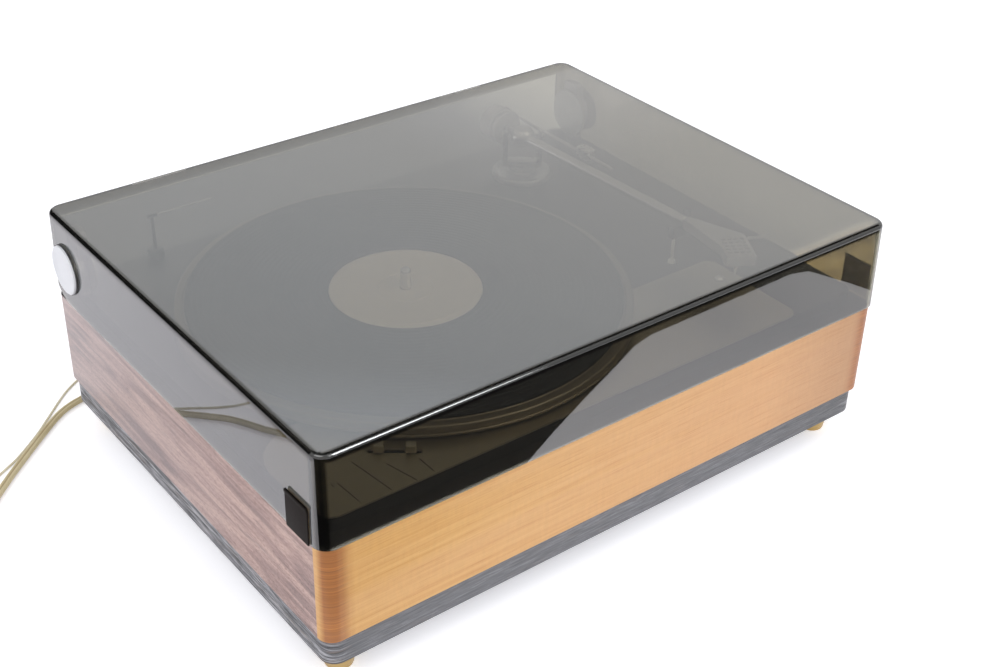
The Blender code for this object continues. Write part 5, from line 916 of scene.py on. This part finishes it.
def build_lid():
    """The smoked cover: round corners and top edges, thin walls, open below and behind."""
    size = LID_HIGH - LID_LOW
    middle = (LID_HIGH + LID_LOW) / 2
    bpy.ops.mesh.primitive_cube_add(size=1.0, location=middle, scale=size)
    lid = begin("smoked_cover")
    edit(lid)
    pick(lid, "faces", lambda face: face.normal.z > 0.9)
    shrink = (1 - 2 * LID_DRAFT / size.x, 1 - 2 * LID_DRAFT / size.y, 1.0)
    bpy.ops.transform.resize(value=shrink, center_override=(middle.x, middle.y, LID_HIGH.z))
    pick(lid, "edges", upright)
    bpy.ops.mesh.bevel(offset=LID_CORNER_RADIUS, segments=16, affect="EDGES")
    pick(lid, "edges", lambda e: min(v.co.z for v in e.verts) > LID_HIGH.z - SEAT_GAP)
    bpy.ops.mesh.bevel(offset=LID_EDGE_RADIUS, segments=8, affect="EDGES")
    pick(lid, "faces", lambda face: face.normal.z < -0.9)
    bpy.ops.mesh.delete(type="FACE")
    close()
    apply_modifier(lid, "SOLIDIFY", thickness=LID_WALL, offset=-1.0, use_even_offset=True)

    rear_high = LID_HIGH.z - LID_REAR_LIP
    rear_low = LID_LOW.z - OVERRUN
    rear_y = LID_HIGH.y - LID_CORNER_RADIUS / 2 + OVERRUN / 2
    bpy.ops.mesh.primitive_cube_add(
        size=1.0, location=(0.0, rear_y, (rear_high + rear_low) / 2),
        scale=(size.x - 2 * LID_CORNER_RETURN, LID_CORNER_RADIUS + OVERRUN, rear_high - rear_low))
    carve(lid, begin("rear_opening"))
    hinge_y = LID_HIGH.y - HINGE_RISE
    hinge_z = LID_LOW.z + HINGE_RISE
    carve(lid, corner_sweep(hinge_y, hinge_z))
    carve(lid, cylinder_across("hinge_bore", HINGE_BORE_RADIUS, size.x + OVERRUN, hinge_y, hinge_z, 64))
    dress(lid, shade_lid(), "lid", ["lid_shell"], 30.0)
    apply_modifier(lid, "WEIGHTED_NORMAL", keep_sharp=True)


def build_platter():
    """The turned platter with its label plate, the ribbed mat round it, and the spindle."""
    low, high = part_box("platter")
    mat_low, mat_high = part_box("platter_mat")
    centre = (low + high) / 2
    place = (centre.x, centre.y, 0.0)
    outer = (high.x - low.x) / 2
    mat_outer = (mat_high.x - mat_low.x) / 2
    top = mat_low.z - SEAT_GAP
    web = top - PLATTER_WEB
    inner = outer - PLATTER_RIM_WIDTH
    step = PLATTER_STEP
    profile = [
        (PLATTER_BORE, web), (inner - 2 * step, web), (inner, web - 2 * step), (inner, low.z),
        (outer - 2 * step, low.z), (outer, low.z + 2 * step), (outer, low.z + 5 * step),
        (outer - step, low.z + 6 * step), (outer - step, low.z + 8 * step), (outer, low.z + 9 * step),
        (outer, top - 2 * step), (outer - step / 2, top - step), (outer - 2 * step, top),
        (mat_outer + 4 * step, top), (mat_outer + 3 * step, top - step), (mat_outer + step, top - step),
        (mat_outer, top), (LABEL_RADIUS, top), (LABEL_RADIUS, high.z - 2 * step),
        (LABEL_RADIUS - step / 2, high.z - step / 2), (LABEL_RADIUS - 2 * step, high.z),
    ]
    for radius in LABEL_GROOVES:
        profile += [(radius + step, high.z), (radius + step / 2, high.z - step / 2),
                    (radius - step / 2, high.z - step / 2), (radius - step, high.z)]
    profile.append((PLATTER_BORE, high.z))
    dish = stand(lathe("turned_platter", profile, PLATTER_SIDES, True), place)
    dress(dish, shade_platter(tone(140, 132, 117), 0.5, centre), "platter_group",
          ["platter"], 32.0)

    mat_inner = LABEL_RADIUS + SEAT_GAP
    profile = [(mat_inner, mat_low.z), (mat_outer, mat_low.z), (mat_outer, mat_high.z - step),
               (mat_outer - step, mat_high.z)]
    first = mat_outer - MAT_MARGIN
    pitch = (first - LABEL_RADIUS - MAT_MARGIN) / (MAT_RIBS - 1)
    half = MAT_RIB_WIDTH / 2
    for index in range(MAT_RIBS):
        radius = first - pitch * index
        profile += [(radius + 2 * half, mat_high.z), (radius + half, mat_high.z - MAT_RIB_DEPTH),
                    (radius - half, mat_high.z - MAT_RIB_DEPTH), (radius - 2 * half, mat_high.z)]
    profile += [(mat_inner + step, mat_high.z), (mat_inner, mat_high.z - step)]
    mat = stand(lathe("ribbed_mat", profile, PLATTER_SIDES, True), place)
    rubber = shade_plain("black_rubber", tone(17, 19, 22), 0.6, 1200.0, Specular_IOR_Level=0.3)
    dress(mat, rubber, "platter_group", ["platter_mat"], 32.0)

    low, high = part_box("spindle")
    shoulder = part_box("sub_platter")[1].z
    profile = [(SHAFT_RADIUS - SHAFT_CHAMFER, low.z), (SHAFT_RADIUS, low.z + SHAFT_CHAMFER),
               (SHAFT_RADIUS, shoulder - step), (SHAFT_RADIUS - step, shoulder), (SPINDLE_RADIUS, shoulder)]
    for turn in map(math.radians, SPINDLE_DOME_TURNS):
        profile.append((SPINDLE_RADIUS * math.cos(turn), high.z - SPINDLE_DOME * (1 - math.sin(turn))))
    spindle = stand(lathe("domed_spindle", profile, 48), place)
    dress(spindle, shade_metal("polished_steel", tone(214, 214, 216), 0.18, (40.0, 40.0, 2500.0)),
          "platter_group", ["spindle"], 40.0)


def build_feet():
    """Four turned brass feet, each a cone with collars, turned once and copied."""
    names = ("foot_front_left", "foot_front_right", "foot_rear_left", "foot_rear_right")
    low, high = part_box(names[0])
    wide = (high.x - low.x) / 2
    tall = high.z - low.z
    tip = wide * FOOT_TIP_SHARE
    profile = [(tip - FOOT_TIP_ROUND, 0.0), (tip - FOOT_TIP_EDGE, FOOT_TIP_EDGE), (tip, FOOT_TIP_ROUND),
               (tip, tall * FOOT_TIP_HEIGHT), (tip + FOOT_STEP, tall * FOOT_STEP_HEIGHT)]
    profile += [(wide * across, tall * up) for across, up in FOOT_COLLARS]
    profile.append((wide - FOOT_TOP_EDGE, tall))
    pattern = lathe("foot_pattern", profile, 72)
    finish = shade_metal("aged_brass", tone(196, 168, 112), 0.36, (60.0, 60.0, 1800.0), 0.25)
    for name in names:
        low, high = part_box(name)
        foot = stand(copy_of(pattern, "turned_" + name), ((low.x + high.x) / 2, (low.y + high.y) / 2, low.z))
        dress(foot, finish, "plinth", [name], 40.0)
    bpy.data.objects.remove(pattern, do_unlink=True)


def cap_profile(outer, thick):
    """Profile of a hinge cap: a thin ring round a shallow dished disc."""
    disc = outer - CAP_RING_WIDTH
    return [
        (outer, 0.0), (outer, CAP_RING_HEIGHT - CAP_RING_EDGE), (outer - CAP_RING_EDGE, CAP_RING_HEIGHT),
        (disc + CAP_SEAM, CAP_RING_HEIGHT), (disc, CAP_RING_HEIGHT + CAP_SEAM), (disc, thick - CAP_ROUND),
        (disc - 0.3 * CAP_ROUND, thick - 0.4 * CAP_ROUND), (disc - CAP_ROUND, thick),
        (disc - CAP_RIM_WIDTH, thick), (disc - 1.1 * CAP_RIM_WIDTH, thick - 0.8 * CAP_DISH_DEPTH),
        (disc * 0.3, thick - CAP_DISH_DEPTH),
    ]


def build_hinges():
    """White caps with a dark ring outside the lid, and friction plates with three screws inside it."""
    cap_finish = shade_cap()
    plate_finish = shade_metal("grey_plate", tone(170, 174, 172), 0.42, 400.0, 0.15, 0.4)
    screw_finish = shade_metal("hinge_screw", tone(200, 200, 200), 0.28)
    low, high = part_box("hinge_cap_left")
    cap_pattern = lathe("cap_pattern", cap_profile((high.z - low.z) / 2, high.x - low.x))
    low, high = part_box("hinge_plate_left")
    outer = (high.z - low.z) / 2
    thick = high.x - low.x
    plate_pattern = lathe("plate_pattern", [
        (outer - PLATE_EDGE, 0.0), (outer, PLATE_EDGE), (outer, thick - PLATE_EDGE),
        (outer - PLATE_EDGE, thick), (PLATE_HOLE_RADIUS + PLATE_EDGE, thick),
        (PLATE_HOLE_RADIUS, thick - PLATE_EDGE), (PLATE_PIN_RADIUS, thick - PLATE_EDGE)], 64)
    screw_pattern = lathe("screw_pattern", [
        (SCREW_RADIUS - 0.4 * SCREW_SINK, thick - SCREW_SINK), (SCREW_RADIUS, thick - 0.6 * SCREW_SINK),
        (SCREW_RADIUS, thick - 0.4 * SCREW_SINK), (SCREW_RADIUS - SCREW_SINK, thick - 0.1 * SCREW_SINK),
        (SCREW_CROWN_RADIUS, thick - 0.02 * SCREW_SINK)], 24)
    for side, sign in (("left", -1.0), ("right", 1.0)):
        low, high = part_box("hinge_cap_" + side)
        y, z = (low.y + high.y) / 2, (low.z + high.z) / 2
        start = high.x if sign < 0 else low.x
        cap = stand(copy_of(cap_pattern, "round_cap_" + side), (start, y, z), (sign, 0.0, 0.0))
        dress(cap, cap_finish, "lid", ["hinge_cap_" + side])

        low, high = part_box("hinge_plate_" + side)
        start = low.x if sign < 0 else high.x
        inwards = (-sign, 0.0, 0.0)
        plate = stand(copy_of(plate_pattern, "friction_plate_" + side), (start, y, z), inwards)
        dress(plate, plate_finish, "plinth", ["hinge_plate_" + side])
        screws = []
        for degrees in (90.0, 210.0, 330.0):
            turn = math.radians(degrees)
            spot = (start, y + SCREW_CIRCLE_RADIUS * math.cos(turn), z + SCREW_CIRCLE_RADIUS * math.sin(turn))
            screws.append(stand(copy_of(screw_pattern, "plate_screw"), spot, inwards))
        heads = join_up(screws, "plate_screws_" + side)
        dress(heads, screw_finish, "plinth")
    for pattern in (cap_pattern, plate_pattern, screw_pattern):
        bpy.data.objects.remove(pattern, do_unlink=True)


def build_grips():
    """Soft black squares near the front of the lid's sides, each with a finger ledge along its top."""
    low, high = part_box("lid_grip_left")
    pad = rounded_block("grip_pad", Vector((low.x + GRIP_LEDGE_REACH, low.y, low.z)), high, GRIP_PAD_EDGE)
    ledge_low = Vector((low.x, low.y, high.z - GRIP_LEDGE_HEIGHT))
    ledge = rounded_block("grip_ledge", ledge_low, high, GRIP_LEDGE_EDGE)
    left = join_up([pad, ledge], "grip_pad_left")
    right = copy_of(left, "grip_pad_right")
    right.rotation_euler = (0.0, 0.0, math.pi)
    right.location = (0.0, low.y + high.y, 0.0)
    settle(right)
    finish = shade_grip()
    for item, side in ((left, "left"), (right, "right")):
        dress(item, finish, "lid", ["lid_grip_" + side], 40.0)


def along_arm(profile, sides, name, bored=False):
    """Turned piece on the tonearm's own line, whose heights are distances forward of the pivot."""
    return stand(lathe(name, profile, sides, bored), ARM_PIVOT, ARM_FORWARD)


def build_tube():
    """The arm's tube, the ball at its pivot and the stub behind it, in one piece."""
    profile = [(STUB_RADIUS - STUB_EDGE, -STUB_REACH), (STUB_RADIUS, -STUB_REACH + STUB_EDGE)]
    first = math.pi - math.asin(STUB_RADIUS / HUB_RADIUS)
    last = math.asin(TUBE_RADIUS / HUB_RADIUS)
    for index in range(HUB_STEPS + 1):
        turn = first + (last - first) * index / HUB_STEPS
        profile.append((HUB_RADIUS * math.sin(turn), HUB_RADIUS * math.cos(turn)))
    profile += [(TUBE_RADIUS, TUBE_REACH - TUBE_EDGE), (TUBE_RADIUS - TUBE_EDGE, TUBE_REACH)]
    tube = along_arm(profile, 48, "polished_tube")
    finish = shade_metal("chromed_tube", tone(206, 206, 210), 0.16, worn=0.05)
    dress(tube, finish, "tonearm", ["arm_tube"], 40.0)


def build_counterweight():
    """The weight on the stub, with grip grooves near its rear and one broad groove near its front."""
    rear = -WEIGHT_START - WEIGHT_LENGTH
    front = -WEIGHT_START
    bore = STUB_RADIUS + SEAT_GAP
    eased = 0.3 * WEIGHT_ROUND
    bottom = WEIGHT_RADIUS - WEIGHT_GROOVE_DEPTH
    profile = [(bore, rear), (bore + WEIGHT_EDGE, rear), (WEIGHT_RADIUS - WEIGHT_ROUND, rear),
               (WEIGHT_RADIUS - eased, rear + eased), (WEIGHT_RADIUS, rear + WEIGHT_ROUND)]
    for index in range(WEIGHT_GROOVES):
        place = rear + WEIGHT_GROOVE_START + WEIGHT_GROOVE_PITCH * index
        profile += [(WEIGHT_RADIUS, place), (bottom, place + WEIGHT_GROOVE_SIDE),
                    (bottom, place + 2 * WEIGHT_GROOVE_SIDE), (WEIGHT_RADIUS, place + 3 * WEIGHT_GROOVE_SIDE)]
    bottom = WEIGHT_RADIUS - RING_GROOVE_DEPTH
    start = front - RING_GROOVE_START
    end = front - RING_GROOVE_END
    profile += [(WEIGHT_RADIUS, start), (bottom, start + RING_GROOVE_SIDE), (bottom, end - RING_GROOVE_SIDE),
                (WEIGHT_RADIUS, end), (WEIGHT_RADIUS, front - WEIGHT_EDGE),
                (WEIGHT_RADIUS - WEIGHT_EDGE, front), (bore, front)]
    weight = along_arm(profile, 72, "grooved_weight", True)
    finish = shade_metal("satin_weight", tone(196, 196, 200), 0.42, worn=0.1, metallic=0.45)
    dress(weight, finish, "tail_weight", ["counterweight"])


def build_arm_base():
    """The round base of the tonearm, with its shank in the deck and its stem."""
    low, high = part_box("arm_base")
    outer = (high.x - low.x) / 2
    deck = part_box("deck_plate")[1].z + SEAT_GAP
    stem_foot = BASE_STEM_RADIUS + BASE_STEM_FOOT
    profile = [(BASE_BORE, low.z), (BASE_SHANK_RADIUS - BASE_SHANK_EDGE, low.z),
               (BASE_SHANK_RADIUS, low.z + BASE_SHANK_EDGE), (BASE_SHANK_RADIUS, deck)]
    profile += [(outer - inward, deck + up) for inward, up in BASE_EDGE]
    profile += [(stem_foot, deck + BASE_DISH), (BASE_STEM_RADIUS, deck + BASE_DISH + BASE_STEM_FOOT),
                (BASE_STEM_RADIUS, high.z - BASE_STEM_EDGE), (BASE_STEM_RADIUS - BASE_STEM_EDGE, high.z),
                (BASE_BORE, high.z)]
    base = stand(lathe("turned_arm_base", profile, 96, True), (ARM_PIVOT.x, ARM_PIVOT.y, 0.0))
    finish = shade_metal("satin_base", tone(150, 152, 154), 0.3, (60.0, 60.0, 2000.0), 0.15, 0.6)
    dress(base, finish, "plinth", ["arm_base"])


def build_strip_marks():
    """Engraved lines on the control strip."""
    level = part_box("control_strip")[1].z
    lines = []
    for start, end in STRIP_LINES:
        start, end = Vector(start), Vector(end)
        run = end - start
        bpy.ops.mesh.primitive_cube_add(size=1.0, scale=(run.length, STRIP_LINE_WIDTH, STRIP_LINE_THICKNESS),
                                        location=(*((start + end) / 2), level + STRIP_LINE_LIFT),
                                        rotation=(0.0, 0.0, math.atan2(run.y, run.x)))
        lines.append(begin("engraved_line"))
    marks = join_up(lines, "strip_marks")
    dress(marks, shade_plain("mark_filling", tone(26, 24, 22), 0.6), "plinth")


def build_strain_relief():
    """Ribbed, tapered sleeve where the mains lead leaves the skirt."""
    low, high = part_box("strain_relief")
    length = high.y - low.y
    profile = list(SLEEVE_FLANGE)
    for index in range(SLEEVE_RIBS):
        start = SLEEVE_RIB_START + (length - SLEEVE_RIB_START - SLEEVE_RIB_END) * index / SLEEVE_RIBS
        radius = SLEEVE_RADIUS - (SLEEVE_RADIUS - SLEEVE_TIP_RADIUS) * index / SLEEVE_RIBS
        bottom = radius - SLEEVE_GROOVE_DEPTH
        groove = start + SLEEVE_RIB_WIDTH + SLEEVE_RIB_SIDE
        profile += [(radius, start), (radius, start + SLEEVE_RIB_WIDTH), (bottom, groove),
                    (bottom, groove + SLEEVE_GROOVE_WIDTH)]
    profile += [(SLEEVE_TIP_RADIUS, length - SLEEVE_TIP_EDGE), (SLEEVE_TIP_RADIUS - SLEEVE_TIP_ROUND, length)]
    place = ((low.x + high.x) / 2, low.y, (low.z + high.z) / 2)
    sleeve = stand(lathe("ribbed_sleeve", profile, 48), place, (0.0, 1.0, 0.0))
    finish = shade_plain("aged_sleeve", tone(188, 172, 132), 0.5)
    dress(sleeve, finish, "plinth", ["strain_relief"], 40.0)


def smooth_route(points, spacing):
    """Reads evenly spaced points from a smooth curve through the points of a route."""
    route = [Vector(point) for point in points]
    padded = [2 * route[0] - route[1]] + route + [2 * route[-1] - route[-2]]
    dense = []
    for index in range(1, len(padded) - 2):
        before, start, end, after = padded[index - 1:index + 3]
        for step in range(ROUTE_STEPS):
            t = step / ROUTE_STEPS
            dense.append(0.5 * (
                2 * start + (end - before) * t + (2 * before - 5 * start + 4 * end - after) * t ** 2
                + (3 * start - before - 3 * end + after) * t ** 3
            ))
    dense.append(route[-1].copy())
    dense = np.array(dense)
    lengths = np.concatenate([[0.0], np.cumsum(np.linalg.norm(np.diff(dense, axis=0), axis=1))])
    count = max(2, round(lengths[-1] / spacing) + 1)
    even = np.linspace(0.0, lengths[-1], count)
    return np.column_stack([np.interp(even, lengths, dense[:, axis]) for axis in range(3)])


def coil_path(start, heading, outer_radius, pitch, turns, diameter, lift, tail, end_height):
    """Points of a coil in two layers that winds in and then out again, and leads off straight."""
    low = diameter / 2 + lift
    high = low + pitch
    direction = np.array([math.cos(heading), math.sin(heading)])
    right = np.array([direction[1], -direction[0]])
    centre = np.array(start) + outer_radius * right
    begin_angle = math.atan2(*(np.array(start) - centre)[::-1])
    middle = math.pi * turns
    points = []
    count = round(turns * COIL_STEPS)
    for index in range(count + 1):
        swept = 2 * math.pi * turns * index / count
        radius = outer_radius - pitch * (middle - abs(swept - middle)) / (2 * math.pi)
        climb = min(max((swept - middle + math.pi / 2) / math.pi, 0.0), 1.0)
        angle = begin_angle - swept
        points.append((centre[0] + radius * math.cos(angle), centre[1] + radius * math.sin(angle),
                       low + (high - low) * climb))
    angle = begin_angle - 2 * math.pi * turns
    leaving = np.array([math.sin(angle), -math.cos(angle)])
    last = np.array(points[-1])
    for index in range(1, TAIL_STEPS + 1):
        share = index / TAIL_STEPS
        ease = share * share * (3 - 2 * share)
        spot = last[:2] + leaving * tail * share
        points.append((*spot, high + (end_height - high) * ease))
    spot = last[:2] + leaving * (tail + diameter)
    points.append((*spot, end_height))
    return np.array(points)


def whole_path(start, straight, route, coil_start, heading, diameter, lift, spacing, coil):
    """Joins a free route and its coil into one line of points."""
    low = diameter / 2 + lift
    lead = diameter + SEAT_GAP
    end = (coil_start[0] - lead * math.cos(heading), coil_start[1] - lead * math.sin(heading), low)
    before = (end[0] - lead * math.cos(heading), end[1] - lead * math.sin(heading), low)
    points = [start, (start[0], start[1] + straight, start[2])] + route + [before, end]
    return np.vstack([smooth_route(points, spacing), coil])


def skin_lead(name, points, width, thickness, groove, sides):
    """Skins a line of points with a flat twin or a round section, as a closed tube with a grain map."""
    tangents = np.gradient(points, axis=0)
    tangents /= np.linalg.norm(tangents, axis=1)[:, None]
    across = np.cross(tangents, (0.0, 0.0, 1.0))
    across /= np.linalg.norm(across, axis=1)[:, None]
    over = np.cross(across, tangents)
    along = np.concatenate([[0.0], np.cumsum(np.linalg.norm(np.diff(points, axis=0), axis=1))])
    mesh = bmesh.new()
    layer = mesh.loops.layers.uv.new("grain")
    rings = []
    for place, side, top in zip(points, across, over):
        ring = []
        for index in range(sides):
            angle = 2 * math.pi * index / sides
            x = width / 2 * math.cos(angle)
            waist = 1 - groove * math.exp(-(x / (CORD_GROOVE_SPREAD * width)) ** 2)
            z = thickness / 2 * math.sin(angle) * waist
            ring.append(mesh.verts.new(place + side * x + top * z))
        rings.append(ring)
    for index in range(len(rings) - 1):
        for side in range(sides):
            after = (side + 1) % sides
            face = mesh.faces.new((rings[index][side], rings[index][after], rings[index + 1][after],
                                   rings[index + 1][side]))
            corners = ((index, side), (index, side + 1), (index + 1, side + 1), (index + 1, side))
            for loop, (step, turn) in zip(face.loops, corners):
                loop[layer].uv = (along[step], turn / sides)
    mesh.faces.new(list(reversed(rings[0])))
    mesh.faces.new(rings[-1])
    bmesh.ops.recalc_face_normals(mesh, faces=mesh.faces[:])
    data = bpy.data.meshes.new(name)
    mesh.to_mesh(data)
    mesh.free()
    item = bpy.data.objects.new(name, data)
    bpy.context.scene.collection.objects.link(item)
    return item


def build_cords():
    """Mains lead and earth wire, from where they leave the skirt to their coils beside the plinth."""
    plug_z = PLUG_HEIGHT / 2 + SEAT_GAP
    coil = coil_path(CORD_COIL_START, CORD_COIL_HEADING, COIL_RADIUS, COIL_PITCH, COIL_TURNS,
                     CORD_WIDTH, COIL_LIFT, COIL_TAIL, plug_z)
    path = whole_path(CORD_START, CORD_WIDTH, CORD_ROUTE, CORD_COIL_START, CORD_COIL_HEADING,
                      CORD_WIDTH, COIL_LIFT, CORD_SPACING, coil)
    lead = skin_lead("twin_lead", path, CORD_WIDTH, CORD_THICKNESS, CORD_GROOVE, CORD_SIDES)
    dress(lead, shade_lead(), "plinth", ["mains_cord", "mains_coil"], 60.0)
    lug_z = LUG_BARREL_RADIUS + SEAT_GAP
    coil = coil_path(WIRE_COIL_START, WIRE_COIL_HEADING, WIRE_COIL_RADIUS, WIRE_COIL_PITCH,
                     WIRE_COIL_TURNS, WIRE_DIAMETER, WIRE_COIL_LIFT, WIRE_COIL_TAIL, lug_z)
    path = whole_path(WIRE_START, 2 * WIRE_DIAMETER, WIRE_ROUTE, WIRE_COIL_START, WIRE_COIL_HEADING,
                      WIRE_DIAMETER, WIRE_COIL_LIFT, WIRE_SPACING, coil)
    wire = skin_lead("earth_lead", path, WIRE_DIAMETER, WIRE_DIAMETER, 0.0, WIRE_SIDES)
    dress(wire, shade_wire(), "plinth", ["earth_wire", "earth_coil"], 60.0)


def refinish_solids():
    """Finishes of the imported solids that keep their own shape."""
    refinish(shade_metal("pulley_brass", tone(190, 160, 96), 0.3, worn=0.2), "motor_pulley")
    refinish(shade_metal("black_enamel", tone(34, 34, 37), 0.32, metallic=0.3), "well_pan", "side_post")
    refinish(shade_metal("satin_fork", tone(168, 168, 170), 0.3, worn=0.15), "arm_yoke")
    refinish(shade_metal("plated_steel", tone(205, 205, 205), 0.28),
             "bearing_housing", "motor_body", "strip_screw", "pivot_screw_left", "pivot_screw_right",
             "stylus", "rider_weight", "hinge_pin_left", "hinge_pin_right", "earth_lug")
    refinish(shade_metal("chromed_rod", tone(210, 210, 214), 0.16, worn=0.05),
             "side_rod", "finger_lift", "side_arm")
    refinish(shade_metal("bright_post", grey(236), 0.35, worn=0.05, metallic=0.3), "arm_rest_post")
    refinish(shade_metal("champagne_strip", tone(172, 164, 146), 0.36, (25.0, 1500.0, 1500.0)),
             "control_strip")
    refinish(shade_metal("lever_metal", tone(176, 170, 154), 0.38), "speed_lever", "start_lever")
    refinish(shade_metal("headshell_metal", tone(176, 176, 180), 0.42, metallic=0.4), "headshell")
    refinish(shade_metal("bracket_zinc", tone(166, 166, 172), 0.45, worn=0.2, metallic=0.4),
             "hinge_bracket_left", "hinge_bracket_right")
    refinish(shade_plain("hardboard", tone(96, 72, 54), 0.85, 500.0, 0.3), "bottom_board")
    refinish(shade_plain("satin_black_deck", tone(18, 17, 17), 0.32, 700.0, 0.2), "deck_plate")
    refinish(shade_plain("belt_rubber", tone(28, 27, 26), 0.85, 1500.0), "drive_belt")
    refinish(shade_plain("black_moulding", tone(26, 26, 26), 0.42),
             "sub_platter", "side_post_base", "arm_rest_clip", "cartridge")
    refinish(shade_plain("black_strap", tone(30, 27, 27), 0.6), "mains_tie", "earth_tie", "earth_grommet")
    refinish(shade_plain("yellowed_plastic", tone(205, 190, 150), 0.42), "mains_plug")


def shade_table():
    """White paper, brighter in mirrors and darker through the lid, which also shows a glowing brown patch on
    it; the mirror glow, its violet tint and the patch are painted light.
    """
    paper = Finish("white_table", tone(247, 247, 250), 0.75, Specular_IOR_Level=0.1)
    path = paper.add("ShaderNodeLightPath")
    across, along, _ = paper.parts(paper.space())
    through = path.outputs["Is Transmission Ray"]
    mirrored = paper.times(path.outputs["Is Glossy Ray"], paper.minus(1.0, through))
    beyond = paper.ramp(across, (0.30, grey(112)), (0.42, tone(230, 230, 220)))
    paper.paint(paper.blend(through, tone(247, 247, 250), beyond))

    seen = paper.work("MAXIMUM", path.outputs["Is Camera Ray"], mirrored)
    # Painted reflections: in mirrors the table glows brighter in front of and beside the turntable
    before = paper.times(paper.ramp(paper.minus(0.0, along), (0.17, 0.0), (0.22, 1.0)),
                         paper.ramp(paper.plus(across, 0.5), (0.45, 1.15), (0.80, 0.35)))
    beside = paper.ramp(paper.minus(0.0, across), (0.22, 0.0), (0.28, 0.17))
    extra = paper.times(mirrored, paper.work("MAXIMUM", before, beside))
    cloud = paper.cloud((22.0, 30.0, 1.0), 3.0, 0.5)
    brown = paper.ramp(cloud, (0.36, tone(92, 74, 50)), (0.62, tone(178, 158, 112)))
    # Painted light: a brown patch that glows on the table, seen only through the lid
    off_middle = paper.unsigned(paper.plus(along, 0.012))
    spot = paper.times(paper.ramp(across, (0.32, 0.0), (0.34, 1.0)),
                       paper.ramp(off_middle, (0.042, 1.0), (0.048, 0.0)))
    spot = paper.times(spot, paper.ramp(across, (0.45, 1.0), (0.48, 0.0)))
    spot = paper.times(spot, through)
    # Painted reflection: in mirrors the table beside the turntable is tinted violet
    violet = paper.times(mirrored, paper.ramp(beside, (0.0, 0.0), (0.1, 1.0)))
    pale = paper.blend(violet, tone(250, 250, 255), tone(252, 246, 255))
    paper.feed(paper.shader.inputs["Emission Color"], paper.blend(spot, pale, brown))
    bright = paper.plus(paper.times(seen, TABLE_GLOW), extra)
    paper.feed(paper.shader.inputs["Emission Strength"], paper.plus(bright, paper.times(spot, PATCH_GLOW)))
    return paper


def light_room():
    """A white room that lights the turntable a little less than it shows."""
    world = bpy.data.worlds.new("white_room")
    bpy.context.scene.world = world
    world.use_nodes = True
    nodes = world.node_tree.nodes
    links = world.node_tree.links
    lighting = nodes["Background"]
    shown = nodes.new("ShaderNodeBackground")
    for background, strength in ((lighting, ROOM_STRENGTH), (shown, 1.0)):
        background.inputs["Color"].default_value = (1.0, 1.0, 1.0, 1.0)
        background.inputs["Strength"].default_value = strength
    path = nodes.new("ShaderNodeLightPath")
    seen = path.outputs["Is Camera Ray"]
    for ray in ("Is Glossy Ray", "Is Transmission Ray"):
        most = nodes.new("ShaderNodeMath")
        most.operation = "MAXIMUM"
        links.new(seen, most.inputs[0])
        links.new(path.outputs[ray], most.inputs[1])
        seen = most.outputs[0]
    mix = nodes.new("ShaderNodeMixShader")
    links.new(seen, mix.inputs["Fac"])
    links.new(lighting.outputs["Background"], mix.inputs[1])
    links.new(shown.outputs["Background"], mix.inputs[2])
    links.new(mix.outputs["Shader"], nodes["World Output"].inputs["Surface"])


def show_in_mirrors_only(item):
    """Stages an object that shows only in reflections."""
    item.visible_camera = False
    item.visible_diffuse = False
    item.visible_shadow = False
    item.visible_transmission = False


def add_card(name, material, place, turn, size):
    """A flat card that shows only in reflections."""
    bpy.ops.mesh.primitive_plane_add(size=1.0, location=place, rotation=turn)
    card = bpy.context.object
    card.name = name
    card.scale = size
    card.data.materials.append(material)
    show_in_mirrors_only(card)


def add_softbox(name, place, size, power):
    """A soft lamp that faces the turntable."""
    lamp = bpy.data.lights.new(name, "AREA")
    lamp.shape = "RECTANGLE"
    lamp.size, lamp.size_y = size
    lamp.energy = power
    item = bpy.data.objects.new(name, lamp)
    bpy.context.scene.collection.objects.link(item)
    item.location = place
    item.rotation_euler = (LAMP_TARGET - Vector(place)).to_track_quat("-Z", "Y").to_euler()


def build_studio():
    """Pale table, plain soft light, and a dark sheet and cards that only show in reflections, where they
    paint dark reflections and a highlight.
    """
    bpy.ops.mesh.primitive_plane_add(size=TABLE_SIZE)
    table = bpy.context.object
    table.name = "table"
    table.data.materials.append(shade_table().material)

    # Painted reflections: a dark sheet on the table and dark cards, seen only in reflections, darken what the
    # lid and wood reflect
    mirror_dark_finish = Finish("mirror_dark_sheet", tone(16, 14, 13), 0.9).material
    mesh = bpy.data.meshes.new("dark_flag")
    corners = [(x, y, DARK_SHEET_LIFT) for x, y in reversed(DARK_SHEET_OUTLINE)]
    mesh.from_pydata(corners, [], [list(range(len(corners)))])
    mesh.materials.append(mirror_dark_finish)
    flag = bpy.data.objects.new("dark_flag", mesh)
    bpy.context.scene.collection.objects.link(flag)
    show_in_mirrors_only(flag)

    add_card("rear_card", mirror_dark_finish, *REAR_CARD)
    add_card("ceiling_card", mirror_dark_finish, *CEILING_CARD)
    # Painted highlight: a glowing card, seen only in reflections, draws the bright line along the lid's front
    # top edge
    highlight_card_glow = Finish("highlight_card_glow", tone(0, 0, 0), 1.0, Emission_Color=tone(250, 252, 255),
                          Emission_Strength=HIGHLIGHT_CARD_GLOW)
    add_card("highlight_card", highlight_card_glow.material, *HIGHLIGHT_CARD)
    add_softbox("left_softbox", *LEFT_SOFTBOX)
    add_softbox("front_softbox", *FRONT_SOFTBOX)
    light_room()
    bpy.context.scene.view_settings.view_transform = "Standard"


place_camera()
build_cords()
build_plinth()
build_lid()
build_platter()
build_feet()
build_hinges()
build_grips()
build_tube()
build_counterweight()
build_arm_base()
build_strip_marks()
build_strain_relief()
refinish_solids()
build_studio()
